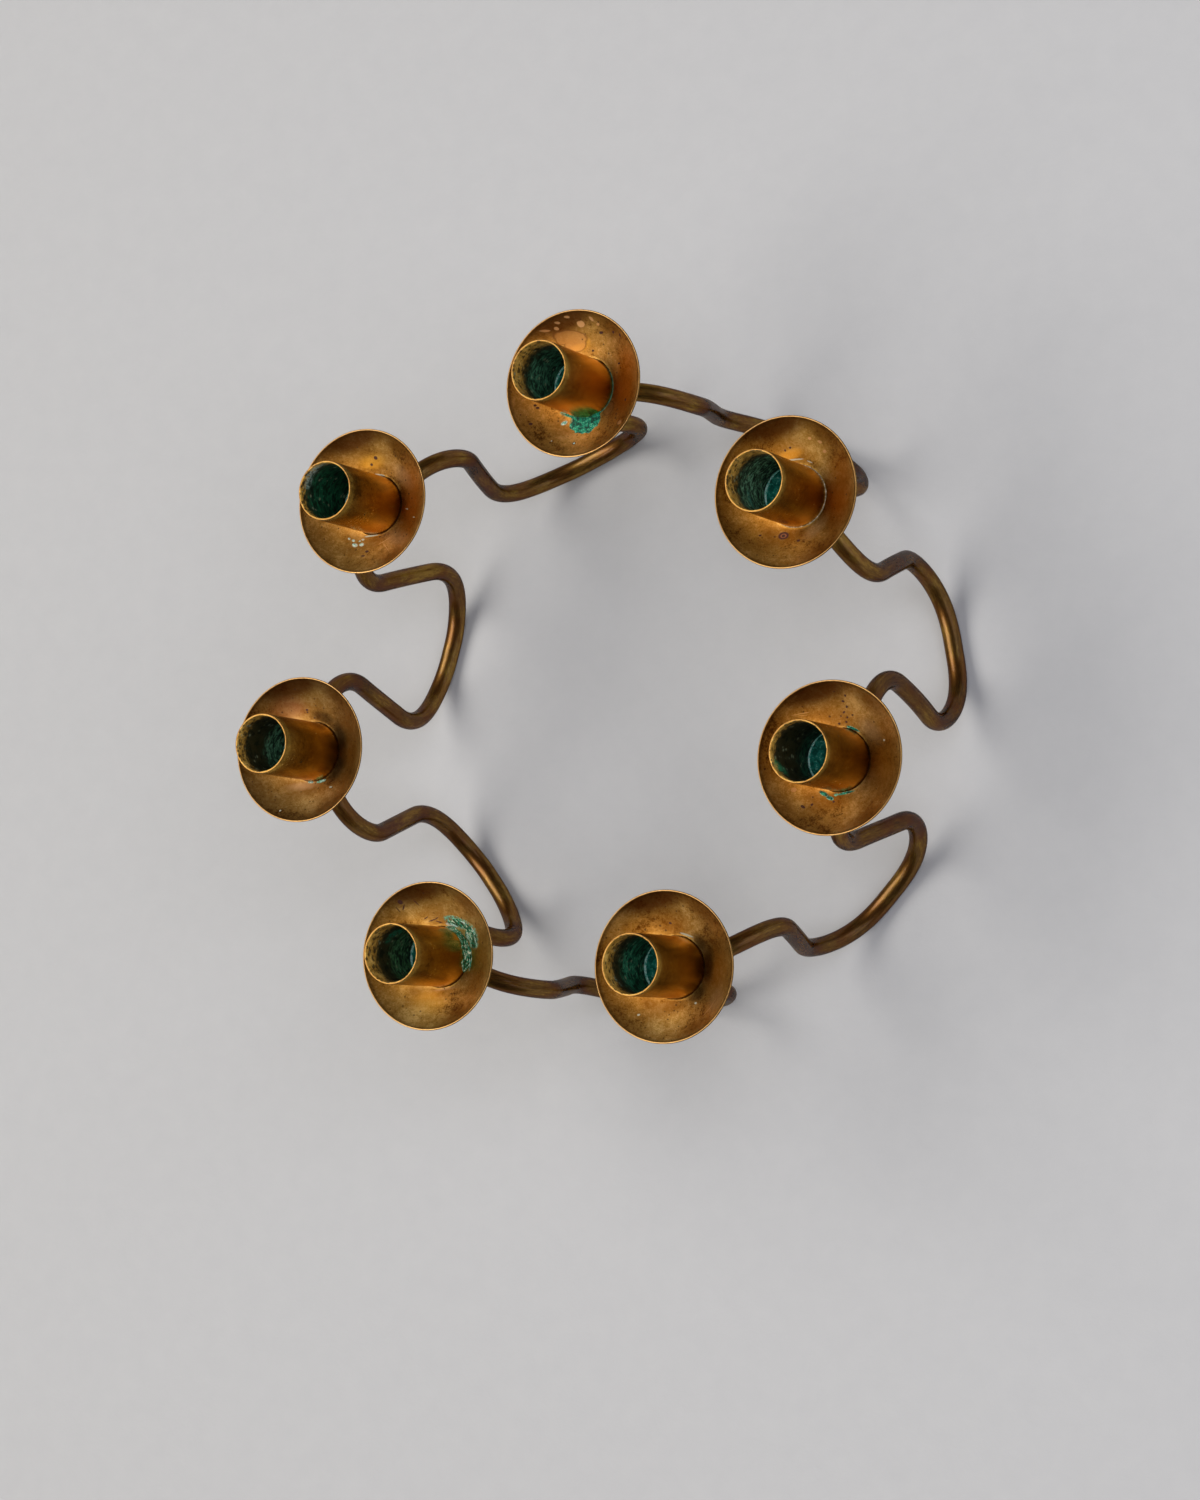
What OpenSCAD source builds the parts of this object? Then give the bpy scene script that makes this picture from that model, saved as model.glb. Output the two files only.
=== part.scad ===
// Brass ring for seven candles. One round rod runs in waves round a circle, standing
// on its lower bends. Each upper bend, here a crest, carries a dished drip pan and a
// plain candle tube. Z is up, and the origin is the centre of the ring on the table.

/* [Ring] */
// Number of candle cups, and of waves in the rod
cup_count = 7; // [6:1:8]
// Diameter of the circle through the candle centres
ring_d = 240; // [220:5:280]
// Height of the pan rims above the table
rim_h = 129; // [115:1:150]

/* [Rod] */
// Diameter of the round rod
rod_d = 7.5; // [6:0.5:9]
// Centre line radius of each shoulder of a crest
crest_bend_r = 26; // [20:1:30]
// Angle by which a riser leans back under its cup, from upright, in degrees
riser_lean = 16.5; // [8:0.5:22]
// Straight stretch in the middle of each lower bend, which lies on the table
base_run = 6; // [2:1:12]

/* [Drip pan] */
// Outer diameter of the pan at its rim
pan_d = 60; // [54:1:70]
// Depth of the flat seat below the rim
pan_depth = 11.5; // [9:0.5:13]
// Thickness of the pan's sheet, across the rim and through the seat
pan_wall = 0.9; // [0.7:0.1:1.5]
// Flat ledge of the seat left showing round the foot of the tube
seat_ledge = 0.75; // [0.5:0.25:3]

/* [Candle tube] */
// Diameter of the candle that the tube takes
candle_d = 22; // [20:0.5:24]
// Free space between the candle and the bore, on each side
candle_gap = 0.25; // [0.1:0.05:0.5]
// Wall of the tube
tube_wall = 0.8; // [0.7:0.1:1.2]
// Length of the tube from the pan's seat to its mouth
tube_h = 40.5; // [32:0.5:50]
// Thickness of the disc that closes the foot of the tube
floor_t = 4.5; // [3:0.5:6]
// Depth of the step in the bore against which the disc seats, taken from the wall
floor_step = 0.3; // [0.1:0.1:0.5]

/* [Saddle] */
// Diameter of the turned saddle between rod and pan
saddle_d = 13; // [12:0.5:16]
// Metal between the top of the rod and the underside of the pan
saddle_web = 4.5; // [3:0.5:6]
// Metal left under the rod
saddle_under = 2.4; // [1.5:0.1:4]
// Chamfer round the lower edge of the saddle
saddle_chamfer = 1; // [0.5:0.1:1.5]

/* [Screw] */
// Diameter of the screw that holds a cup to its saddle
screw_d = 4; // [3:0.5:5]
// Diameter of its countersunk head
head_d = 8; // [6.5:0.5:9]
// Width of the slot in the head
slot_w = 1; // [0.8:0.1:1.4]
// Depth of the slot
slot_depth = 0.8; // [0.5:0.1:1.2]

/* [Clearances] */
// Round the rod in the saddle's cross bore
rod_gap = 0.1; // [0.05:0.05:0.3]
// Round the screw in the saddle's tapped hole
thread_gap = 0.05; // [0.02:0.01:0.1]
// Round the screw in the pan and in the floor disc
screw_gap = 0.2; // [0.1:0.05:0.4]
// Round the floor disc in the tube, filled with solder
solder_gap = 0.05; // [0.02:0.01:0.1]
// Between the tip of the screw and the rod
tip_gap = 0.4; // [0.2:0.1:1]

/* [Hidden] */
// Sides of the rod's cross section, a multiple of four so that one edge is lowest
rod_sides = 16;
// Steps along each bend and along each riser
bend_steps = 10;
riser_steps = 3;
// How far a cut runs past the face that it goes through
cut_over = 1;
$fn = 96;

CUPS = [1:cup_count];
pitch_deg = 360 / cup_count;
// The first cup stands on the +Y axis, and the others follow anticlockwise from above
first_deg = 90;

ring_r = ring_d / 2;
rod_r = rod_d / 2;
pan_r = pan_d / 2;
saddle_r = saddle_d / 2;
screw_r = screw_d / 2;
head_r = head_d / 2;
bore_r = candle_d / 2 + candle_gap;
tube_r = bore_r + tube_wall;
recess_r = bore_r + floor_step;
floor_r = recess_r - solder_gap;
seat_r = tube_r + seat_ledge;

// Levels above the table
seat_z = rim_h - pan_depth;
pan_under_z = seat_z - pan_wall;
floor_top_z = seat_z + floor_t;
crest_z = pan_under_z - saddle_web - rod_r;
base_z = rod_r;
saddle_low_z = crest_z - rod_r - saddle_under;
screw_tip_z = crest_z + rod_r + tip_gap;

// Both faces of the dish are parts of spheres about one centre above the pan
rim_inner_r = pan_r - pan_wall;
dish_up = (pow(rim_inner_r, 2) - pow(seat_r, 2) - pow(pan_depth, 2)) / (2 * pan_depth);
dish_inner_r = norm([rim_inner_r, dish_up]);
dish_outer_r = norm([pan_r, dish_up]);

// Half a wave, unrolled: u runs along the ring from under a cup to the middle of the
// lower bend, and z is the height. A straight in the saddle, a shoulder, a leaning
// riser, the lower bend and half the base run follow each other without a kink, so
// the radius of the lower bend follows from the other sizes.
half_pitch = PI * ring_r / cup_count;
crest_half = saddle_r;
base_half = base_run / 2;
drop = crest_z - base_z;
turn_deg = 90 + riser_lean;
free_run = half_pitch - crest_half - base_half;
bend_sum = (free_run + drop * tan(riser_lean))
    / (cos(riser_lean) + tan(riser_lean) * (1 + sin(riser_lean)));
base_bend_r = bend_sum - crest_bend_r;
crest_centre = [crest_half, crest_z - crest_bend_r];
base_centre = [half_pitch - base_half, base_z + base_bend_r];

function crest_at(a) = crest_centre + crest_bend_r * [sin(a), cos(a)];
function base_at(a) = base_centre - base_bend_r * [sin(a), cos(a)];
riser_top = crest_at(turn_deg);
riser_low = base_at(turn_deg);

HALF_WAVE = concat(
    [[0, crest_z]],
    [for (i = [0:bend_steps]) crest_at(turn_deg * i / bend_steps)],
    [for (i = [1:riser_steps - 1]) riser_top + (riser_low - riser_top) * i / riser_steps],
    [for (i = [bend_steps:-1:0]) base_at(turn_deg * i / bend_steps)],
    [[half_pitch, base_z]]
);
LAST = len(HALF_WAVE) - 1;

// Point i of a link, counted past both ends by mirroring, so that the ends lie square
function wave_at(i) =
    i < 0 ? [-HALF_WAVE[-i].x, HALF_WAVE[-i].y]
    : i <= LAST ? HALF_WAVE[i]
    : i <= 2 * LAST ? [2 * half_pitch - HALF_WAVE[2 * LAST - i].x, HALF_WAVE[2 * LAST - i].y]
    : [2 * half_pitch + HALF_WAVE[i - 2 * LAST].x, HALF_WAVE[i - 2 * LAST].y];

// The wave is wrapped round the ring, with a slight bulge between each crest and base
// that keeps the rod straight where it lies in a saddle or on the table
function ring_deg(u) = u / ring_r * 180 / PI;
function bulge(a) = 1 + (1 - cos(2 * cup_count * a)) / pow(2 * cup_count, 2);
function wrapped(p) =
    let (a = ring_deg(p.x), r = ring_r * bulge(a))
    [r * cos(a), r * sin(a), p.y];

function unit(v) = v / norm(v);
function cross_section(i) =
    let (
        p = wave_at(i),
        along = unit(wrapped(wave_at(i + 1)) - wrapped(wave_at(i - 1))),
        a = ring_deg(p.x),
        out = [cos(a), sin(a), 0],
        side = unit(out - (out * along) * along),
        down = cross(along, side)
    )
    [for (k = [0:rod_sides - 1])
        let (b = 360 * k / rod_sides)
        wrapped(p) + rod_r * (cos(b) * side + sin(b) * down)];

// Turns its children to the place of cup k
module at_cup(k) {
    rotate([0, 0, first_deg + (k - 1) * pitch_deg])
        children();
}

// Puts children drawn on the Z axis under or in cup k
module on_cup(k) {
    at_cup(k)
        translate([ring_r, 0, 0])
            children();
}

// One wave of the rod, from the middle of one saddle to the middle of the next
module rod_link(k) {
    rings = [for (i = [0:2 * LAST]) cross_section(i)];
    n = rod_sides;
    last_ring = n * (2 * LAST);
    points = [for (ring = rings) each ring];
    walls = [for (i = [0:2 * LAST - 1], j = [0:n - 1])
        let (a = n * i + j, b = n * i + (j + 1) % n)
        each [[a, b, b + n], [a, b + n, a + n]]];
    caps = [for (j = [1:n - 2])
        each [[0, j + 1, j], [last_ring, last_ring + j, last_ring + j + 1]]];
    color("#8a6a2e")
        at_cup(k)
            polyhedron(points = points, faces = concat(walls, caps));
}

// Turned block that takes the ends of two links and carries a cup
module saddle(k) {
    low_r = saddle_r - saddle_chamfer;
    outline = [
        [0, saddle_low_z],
        [low_r, saddle_low_z],
        [saddle_r, saddle_low_z + saddle_chamfer],
        [saddle_r, pan_under_z],
        [0, pan_under_z]
    ];
    color("#7d6128")
        on_cup(k)
            difference() {
                rotate_extrude()
                    polygon(outline);
                translate([0, 0, crest_z])
                    rotate([90, 0, 0])
                        cylinder(r = rod_r + rod_gap, h = saddle_d + 2 * cut_over, center = true);
                translate([0, 0, crest_z])
                    cylinder(r = screw_r + thread_gap, h = pan_under_z - crest_z + cut_over);
            }
}

// Dished pan with a flat seat, holed for the screw
module drip_pan(k) {
    color("#a8792f")
        on_cup(k)
            difference() {
                intersection() {
                    translate([0, 0, rim_h + dish_up])
                        sphere(r = dish_outer_r);
                    translate([0, 0, pan_under_z])
                        cylinder(r = pan_r + cut_over, h = rim_h - pan_under_z);
                }
                intersection() {
                    translate([0, 0, rim_h + dish_up])
                        sphere(r = dish_inner_r);
                    translate([0, 0, seat_z])
                        cylinder(r = pan_r + cut_over, h = pan_depth + cut_over);
                }
                translate([0, 0, pan_under_z - cut_over])
                    cylinder(r = screw_r + screw_gap, h = pan_wall + 2 * cut_over);
            }
}

// Plain length of tube that stands on the seat, recessed at its foot for the floor disc
module candle_tube(k) {
    color("#b07c2c")
        on_cup(k)
            translate([0, 0, seat_z])
                difference() {
                    cylinder(r = tube_r, h = tube_h);
                    translate([0, 0, -cut_over])
                        cylinder(r = bore_r, h = tube_h + 2 * cut_over);
                    translate([0, 0, -cut_over])
                        cylinder(r = recess_r, h = floor_t + cut_over);
                }
}

// A screw with a conical head, drawn from its tip up to the top of the floor disc
module screw_form(gap) {
    cone_h = head_r - screw_r;
    translate([0, 0, screw_tip_z])
        cylinder(r = screw_r + gap, h = floor_top_z - screw_tip_z);
    translate([0, 0, floor_top_z - cone_h])
        cylinder(r1 = screw_r + gap, r2 = head_r + gap, h = cone_h);
}

// Disc soldered into the foot of the tube, countersunk for the screw
module tube_floor(k) {
    color("#3f7f6c")
        on_cup(k)
            difference() {
                translate([0, 0, seat_z])
                    cylinder(r = floor_r, h = floor_t);
                screw_form(screw_gap);
            }
}

// The screws that pull each cup down on its saddle
module cup_screws() {
    color("#6f6a4c")
        for (k = CUPS)
            on_cup(k)
                difference() {
                    screw_form(0);
                    translate([0, 0, floor_top_z])
                        cube([head_d + cut_over, slot_w, 2 * slot_depth], center = true);
                }
}

for (k = CUPS) rod_link(k);
for (k = CUPS) saddle(k);
for (k = CUPS) drip_pan(k);
for (k = CUPS) candle_tube(k);
for (k = CUPS) tube_floor(k);
cup_screws();
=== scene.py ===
# %% [markdown]
# # A waved brass ring for seven candles
# A table candle holder: one round brass rod runs in seven waves round a circle and stands
# on its lower bends. Each crest carries a turned saddle, a dished drip pan and a plain
# candle tube. The brass is old, so most of this lesson is about how brass ages: brown in
# the dishes, green in the tubes, bright only on the rims that hands and cloths rub.
# The solids of the part are loaded first as a fixed frame, and every piece made here
# takes the place of one of them.

# %% Load the frame
import math

import bpy
from mathutils import Matrix, Vector, noise


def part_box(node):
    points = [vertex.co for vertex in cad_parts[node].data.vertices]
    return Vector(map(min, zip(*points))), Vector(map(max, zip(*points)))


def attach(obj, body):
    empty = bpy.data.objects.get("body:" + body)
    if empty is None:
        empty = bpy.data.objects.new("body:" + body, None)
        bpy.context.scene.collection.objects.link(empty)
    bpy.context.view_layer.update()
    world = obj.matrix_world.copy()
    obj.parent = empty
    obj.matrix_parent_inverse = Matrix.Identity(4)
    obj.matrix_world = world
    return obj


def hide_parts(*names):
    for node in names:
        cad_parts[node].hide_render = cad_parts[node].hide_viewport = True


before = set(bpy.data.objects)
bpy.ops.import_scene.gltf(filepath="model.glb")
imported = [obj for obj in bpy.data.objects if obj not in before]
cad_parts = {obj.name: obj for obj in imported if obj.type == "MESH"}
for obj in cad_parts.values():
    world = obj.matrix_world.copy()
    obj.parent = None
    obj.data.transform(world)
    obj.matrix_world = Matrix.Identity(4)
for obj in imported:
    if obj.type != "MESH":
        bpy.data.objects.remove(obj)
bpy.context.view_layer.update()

print("solids in the frame:", len(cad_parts))

# %% [markdown]
# ## Sizes
# Blender works in metres here, but a brass worker thinks in millimetres, so sizes are
# written in millimetres and turned into metres when a mesh is made. They are the sizes
# of the solids, so a piece made from them lands exactly on the solid it replaces. The
# loaded solids themselves tell whether they agree, and the cell prints both.

# %% Sizes of ring, pan and tube, in millimetres
MM = 0.001
CUPS = 7
RING_R = 120.0
ROD_R = 3.75
RIM_Z = 129.0
PAN_R = 30.0
PAN_WALL = 0.9
PAN_DEPTH = 11.5
TUBE_R = 12.05
BORE_R = 11.25
TUBE_H = 40.5
FLOOR_T = 4.5
SADDLE_R = 6.5
SEAT_LEDGE = 0.75
SADDLE_WEB = 4.5
SADDLE_UNDER = 2.4

SEAT_Z = RIM_Z - PAN_DEPTH
UNDER_Z = SEAT_Z - PAN_WALL
CREST_Z = UNDER_Z - SADDLE_WEB - ROD_R
MOUTH_Z = SEAT_Z + TUBE_H

pan_low, pan_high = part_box("drip_pan_1")
print("pan of the solids:", [round(v / MM, 2) for v in pan_high - pan_low])
print("pan from the sizes:", 2 * PAN_R, PAN_DEPTH + PAN_WALL)


def cup_angle(cup):
    """Cup 1 stands on the +Y axis, and the others follow anticlockwise from above."""
    return math.pi / 2 + (cup - 1) * 2 * math.pi / CUPS


def cup_place(cup, height):
    a = cup_angle(cup)
    return Vector((RING_R * math.cos(a), RING_R * math.sin(a), height))


# %% [markdown]
# ## Meshes
# Two kinds of form make up the whole holder. Pans, tubes, saddles and discs are turned,
# so one outline spun round an axis makes each of them. The rod is a circle carried along
# a path. Blender's Screw and Curve tools could make both, but a few lines of mesh code
# also allow small faults that differ round the piece, and these make metal look real.

# %% Put a mesh into the scene
def make_piece(name, points, faces, at=(0, 0, 0)):
    """points are in millimetres about the place at, also in millimetres."""
    mesh = bpy.data.meshes.new(name)
    mesh.from_pydata([Vector(p) * MM for p in points], [], faces)
    mesh.validate()
    mesh.shade_smooth()
    piece = bpy.data.objects.new(name, mesh)
    piece.location = Vector(at) * MM
    bpy.context.collection.objects.link(piece)
    return piece


def between_rows(rows, count):
    """Faces that join rows of count points, each row given by its first point's number."""
    return [(a + k, b + k, b + (k + 1) % count, a + (k + 1) % count)
            for a, b in zip(rows, rows[1:]) for k in range(count)]


# %% [markdown]
# A lathe never leaves a knife edge. Each corner of an outline is therefore broken by a
# small arc, as a turner does with a file or cloth. Without it the rims would not catch
# the thin line of light that they show on the real holder.

# %% Outlines with broken corners
def soften(corners, steps=4):
    """Rounds the corners (radius, height, rounding) of a closed outline."""
    outline = []
    count = len(corners)
    for i, (r, z, rounding) in enumerate(corners):
        here = Vector((r, z))
        if not rounding:
            outline.append((r, z))
            continue
        before = (Vector(corners[i - 1][:2]) - here).normalized()
        after = (Vector(corners[(i + 1) % count][:2]) - here).normalized()
        half = before.angle(after) / 2
        reach = rounding / math.tan(half)
        centre = here + (before + after).normalized() * rounding / math.sin(half)
        first, last = here + before * reach, here + after * reach
        for k in range(steps + 1):
            spoke = (first - centre).slerp(last - centre, k / steps).normalized()
            outline.append(tuple(centre + spoke * rounding))
    return outline


def turned(name, outline, at, sides, fault=None):
    """Spins a closed outline of (radius, height) round the axis at the place at."""
    points, faces, index = [], [], {}
    count = len(outline)
    for i in range(sides):
        a = 2 * math.pi * i / sides
        for k, (r, z) in enumerate(outline):
            if r == 0 and i > 0:
                index[i, k] = index[0, k]
                continue
            dr, dz = fault(r, a, z) if fault else (0, 0)
            index[i, k] = len(points)
            points.append(((r + dr) * math.cos(a), (r + dr) * math.sin(a), z + dz))
    for i in range(sides):
        for k in range(count):
            n, j = (k + 1) % count, (i + 1) % sides
            ring = [index[i, k], index[j, k], index[j, n], index[i, n]]
            ring = list(dict.fromkeys(ring))
            if len(ring) > 2:
                faces.append(ring)
    return make_piece(name, points, faces, at)


print("turning works on an outline:", len(soften([(1, 0, 0.1), (2, 0, 0.1), (2, 1, 0)])), "points")

# %% [markdown]
# ## The rod
# On the real holder a straight rod was bent cold round formers, wave after wave. Seen
# from the side, half a wave is a short straight in the saddle, a shoulder, a leaning
# riser and the lower bend. These follow each other without a kink. The path is drawn
# flat with arcs and then wrapped round the ring, as a strip of paper round a tin.

# %% One half wave, drawn flat
CREST_BEND = 26.0
RISER_LEAN = math.radians(16.5)
BASE_HALF = 3.0
HALF_PITCH = math.pi * RING_R / CUPS
TURN = math.pi / 2 + RISER_LEAN

free_run = HALF_PITCH - SADDLE_R - BASE_HALF
drop = CREST_Z - ROD_R
both_bends = (free_run + drop * math.tan(RISER_LEAN)) / (
    math.cos(RISER_LEAN) + math.tan(RISER_LEAN) * (1 + math.sin(RISER_LEAN)))
BASE_BEND = both_bends - CREST_BEND


def half_wave(bend_steps=26, riser_steps=10):
    """(run, height) from under a cup to the middle of the lower bend."""
    crest = Vector((SADDLE_R, CREST_Z - CREST_BEND))
    base = Vector((HALF_PITCH - BASE_HALF, ROD_R + BASE_BEND))

    def on_crest(turn):
        return crest + CREST_BEND * Vector((math.sin(turn), math.cos(turn)))

    def on_base(turn):
        return base - BASE_BEND * Vector((math.sin(turn), math.cos(turn)))

    path = [Vector((SADDLE_R * i / 4, CREST_Z)) for i in range(4)]
    path += [on_crest(TURN * i / bend_steps) for i in range(bend_steps + 1)]
    top, low = on_crest(TURN), on_base(TURN)
    path += [top.lerp(low, i / riser_steps) for i in range(1, riser_steps)]
    path += [on_base(TURN * i / bend_steps) for i in range(bend_steps, -1, -1)]
    path += [Vector((HALF_PITCH, ROD_R))]
    return path


print("radius of the lower bend:", round(BASE_BEND, 2), "mm")

# %% [markdown]
# The second half of a wave is the first one mirrored. Wrapping adds a slight bulge
# between each saddle and foot, which keeps the rod straight inside its saddle. A bent rod
# isn't a perfect tube: it flattens a little where it was pulled round the former.

# %% Wrap the wave round the ring and carry a circle along it
def wrapped(run, height, first_angle):
    turn = run / RING_R
    r = RING_R * (1 + (1 - math.cos(2 * CUPS * turn)) / (2 * CUPS) ** 2)
    a = first_angle + turn
    return Vector((r * math.cos(a), r * math.sin(a), height)), a


# How far a wave strays from the regular one, as seen from above: millimetres along X and
# Y at a quarter, at half and at three quarters of the link's length.
STRAY = {
    1: ((0, 0), (0, 3), (-2.5, 1)),
    2: ((-2.5, 0), (-2, 0), (0, 0)),
    3: ((0, 0), (2, 1), (0, 0)),
    5: ((1, 1.5), (0, 2), (1, 2.5)),
    6: ((1.5, 2.5), (0, 1), (2.5, 3)),
    7: ((0, 0), (1.5, 3), (0.5, 2)),
}


def stray(link, share):
    moved = Vector((0, 0, 0))
    for (x, y), middle in zip(STRAY.get(link, ()), (0.25, 0.5, 0.75)):
        near = max(0.0, 1 - abs(share - middle) / 0.25)
        moved += Vector((x, y, 0)) * (0.5 - 0.5 * math.cos(math.pi * near))
    return moved


def rod_link(cup, sides=32):
    flat = half_wave()
    flat += [Vector((2 * HALF_PITCH - p.x, p.y)) for p in reversed(flat[:-1])]
    lengths = [0.0]
    for before, after in zip(flat, flat[1:]):
        lengths.append(lengths[-1] + (after - before).length)
    path = [wrapped(p.x, p.y, cup_angle(cup)) for p in flat]
    path = [(p + stray(cup, d / lengths[-1]), a) for (p, a), d in zip(path, lengths)]
    points, place, walked = [], [], 0.0
    for i, (here, a) in enumerate(path):
        last, following = path[max(i - 1, 0)][0], path[min(i + 1, len(path) - 1)][0]
        along = (following - last).normalized()
        if i in (0, len(path) - 1):
            along = Vector((-math.sin(a), math.cos(a), 0))
        walked += (here - last).length
        out = Vector((math.cos(a), math.sin(a), 0))
        side = (out - out.dot(along) * along).normalized()
        down = along.cross(side)
        for k in range(sides):
            b = 2 * math.pi * k / sides
            spoke = math.cos(b) * side + math.sin(b) * down
            points.append(here + ROD_R * spoke)
            place.append((walked * MM, ROD_R * MM * math.cos(b), ROD_R * MM * math.sin(b)))
    faces = between_rows(range(0, len(points), sides), sides)
    faces.append(tuple(range(sides)))
    faces.append(tuple(reversed(range(len(points) - sides, len(points)))))
    piece = make_piece(f"rod_{cup}", points, faces)
    layer = piece.data.attributes.new("rod_place", "FLOAT_VECTOR", "POINT")
    layer.data.foreach_set("vector", [v for p in place for v in p])
    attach(piece, "root")
    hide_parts(f"rod_link_{cup}")
    return piece


rods = [rod_link(cup) for cup in range(1, CUPS + 1)]
print("rod links:", len(rods), "each of", len(rods[0].data.polygons), "faces")

# %% [markdown]
# ## The drip pans
# Each pan was spun: a disc of sheet brass pressed over a turning former until it took
# the shape of a dish. Both of its faces are parts of spheres with one centre, and its
# rim is a bare cut edge, rubbed round. A slight waviness of rim and dish, a few
# hundredths of a millimetre, is left in, because no spun dish is free of it.

# %% Outline of a pan, from the screw hole out over the rim and back underneath
seat_r = TUBE_R + SEAT_LEDGE
rim_in = PAN_R - PAN_WALL
dish_up = (rim_in ** 2 - seat_r ** 2 - PAN_DEPTH ** 2) / (2 * PAN_DEPTH)
dish_in = math.hypot(rim_in, dish_up)
dish_out = math.hypot(PAN_R, dish_up)
SCREW_HOLE_R = 2.2
FLAT_RINGS = (SCREW_HOLE_R, 6, 10)
RIM_ARC = 0.6
PAN_WAVINESS = 0.05


def dish_face(radius, r_from, r_to, steps=30):
    """Points of a spherical face, as heights above the seat."""
    rs = [r_from + (r_to - r_from) * i / steps for i in range(steps + 1)]
    return [(r, PAN_DEPTH + dish_up - math.sqrt(radius ** 2 - r ** 2), 0) for r in rs]


def pan_outline():
    under_r = math.sqrt(dish_out ** 2 - (dish_up + PAN_DEPTH + PAN_WALL) ** 2)
    corners = [(r, 0, 0) for r in FLAT_RINGS] + [(TUBE_R, 0, 0)]
    corners += dish_face(dish_in, seat_r, rim_in - RIM_ARC)
    corners += [(rim_in, PAN_DEPTH, 0.3), (PAN_R, PAN_DEPTH, 0.35)]
    corners += dish_face(dish_out, PAN_R - RIM_ARC, under_r)
    corners += [(r, -PAN_WALL, 0) for r in reversed(FLAT_RINGS)]
    return soften(corners)


def pan(cup):
    def fault(r, a, z):
        """The rim wanders in and out, but only down, so it stays within its solid."""
        reach = PAN_WAVINESS * max(0.0, (r - seat_r) / (PAN_R - seat_r))
        where = Vector((math.cos(a), math.sin(a), cup * 3.0))
        return -reach * noise.noise(where), -reach * (1 + noise.noise(where * 1.7))

    piece = turned(f"pan_{cup}", pan_outline(), cup_place(cup, SEAT_Z), 192, fault)
    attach(piece, "root")
    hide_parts(f"drip_pan_{cup}")
    return piece


pans = [pan(cup) for cup in range(1, CUPS + 1)]
print("pans:", len(pans), "rim to rim", round(pans[0].dimensions.x / MM, 2), "mm")

# %% [markdown]
# ## The candle tubes
# A length of drawn tube stands on each pan and is soldered round its foot. Its lip is
# only broken with a file. Inside, a step holds the disc that closes the foot. Outside
# and inside age so differently that the tube gets two materials, shared out by the
# part of the outline that a face comes from.

# %% Tubes with a lip and a step for the floor disc
RECESS_R = BORE_R + 0.3
LIP_WAVINESS = 0.04


def tube(cup):
    heights = [TUBE_H * share for share in (0.15, 0.3, 0.45, 0.6, 0.75, 0.9)]
    inside = [(RECESS_R, 0, 0.1), (RECESS_R, FLOOR_T, 0), (BORE_R, FLOOR_T, 0)]
    inside += [(BORE_R, z, 0) for z in heights] + [(BORE_R, TUBE_H, 0.35)]
    outside = [(TUBE_R, TUBE_H, 0.25)] + [(TUBE_R, z, 0) for z in reversed(heights)]
    outside += [(TUBE_R, 0, 0.1)]
    outline = soften(list(reversed(inside + outside)))

    def fault(r, a, z):
        reach = LIP_WAVINESS * (z / TUBE_H) ** 2
        where = Vector((math.cos(a), math.sin(a), cup * 5.0))
        return -reach * (1 + noise.noise(where)), -reach * (1 + noise.noise(where * 2))

    piece = turned(f"tube_{cup}", outline, cup_place(cup, SEAT_Z), 128, fault)
    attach(piece, "root")
    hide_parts(f"candle_tube_{cup}")
    return piece


tubes = [tube(cup) for cup in range(1, CUPS + 1)]
print("tubes:", len(tubes), "height", round(tubes[0].dimensions.z / MM, 2), "mm")

# %% [markdown]
# ## Saddles, floor discs and screws
# Under each pan sits a short turned saddle, bored crosswise for the two rod ends that
# meet in it. A Boolean modifier cuts that bore as a drill does, and its result is kept as
# a plain mesh. The disc in the foot of a tube is turned with a countersink for the screw
# that holds disc, pan and saddle together.

# %% Saddles with their cross bore
ROD_GAP = 0.1
THREAD_R = 2.05
HALF_CREST = SADDLE_WEB + ROD_R


def drill_for(cup, sides=48):
    """A plain bar through the saddle, along the rod."""
    r, reach = ROD_R + ROD_GAP, 2 * SADDLE_R
    points = [(side * reach, r * math.cos(b), r * math.sin(b)) for side in (-1, 1)
              for b in (2 * math.pi * k / sides for k in range(sides))]
    faces = [(k, (k + 1) % sides, (k + 1) % sides + sides, k + sides) for k in range(sides)]
    faces += [tuple(reversed(range(sides))), tuple(range(sides, 2 * sides))]
    bar = make_piece(f"drill_{cup}", points, faces, cup_place(cup, CREST_Z))
    bar.rotation_euler.z = cup_angle(cup) + math.pi / 2
    return bar


def saddle(cup):
    low = CREST_Z - ROD_R - SADDLE_UNDER
    height = UNDER_Z - low
    outline = soften([
        (0, 0, 0), (SADDLE_R - 1, 0, 0.3), (SADDLE_R, 1, 0.3), (SADDLE_R, height, 0.25),
        (THREAD_R, height, 0), (THREAD_R, height - HALF_CREST, 0), (0, height - HALF_CREST, 0)])
    piece = turned(f"saddle_{cup}", outline, cup_place(cup, low), 96)
    drill = drill_for(cup)
    cut = piece.modifiers.new("cross bore", "BOOLEAN")
    cut.object, cut.operation, cut.solver = drill, "DIFFERENCE", "EXACT"
    bpy.context.view_layer.update()
    shape = piece.evaluated_get(bpy.context.evaluated_depsgraph_get())
    bored = bpy.data.meshes.new_from_object(shape)
    piece.modifiers.clear()
    piece.data = bored
    bpy.data.objects.remove(drill)
    bored.set_sharp_from_angle(angle=math.radians(40))
    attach(piece, "root")
    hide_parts(f"saddle_{cup}")
    return piece


saddles = [saddle(cup) for cup in range(1, CUPS + 1)]
print("saddles:", len(saddles), "faces each", len(saddles[0].data.polygons))

# %% [markdown]
# A disc closes the foot of each tube, and its countersunk hole takes the head of the
# screw. It could be left out of the picture, but its green edge is the brightest thing
# one sees down in a tube, so it is turned like the rest, and the solid of the screw
# shows in its middle.

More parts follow.
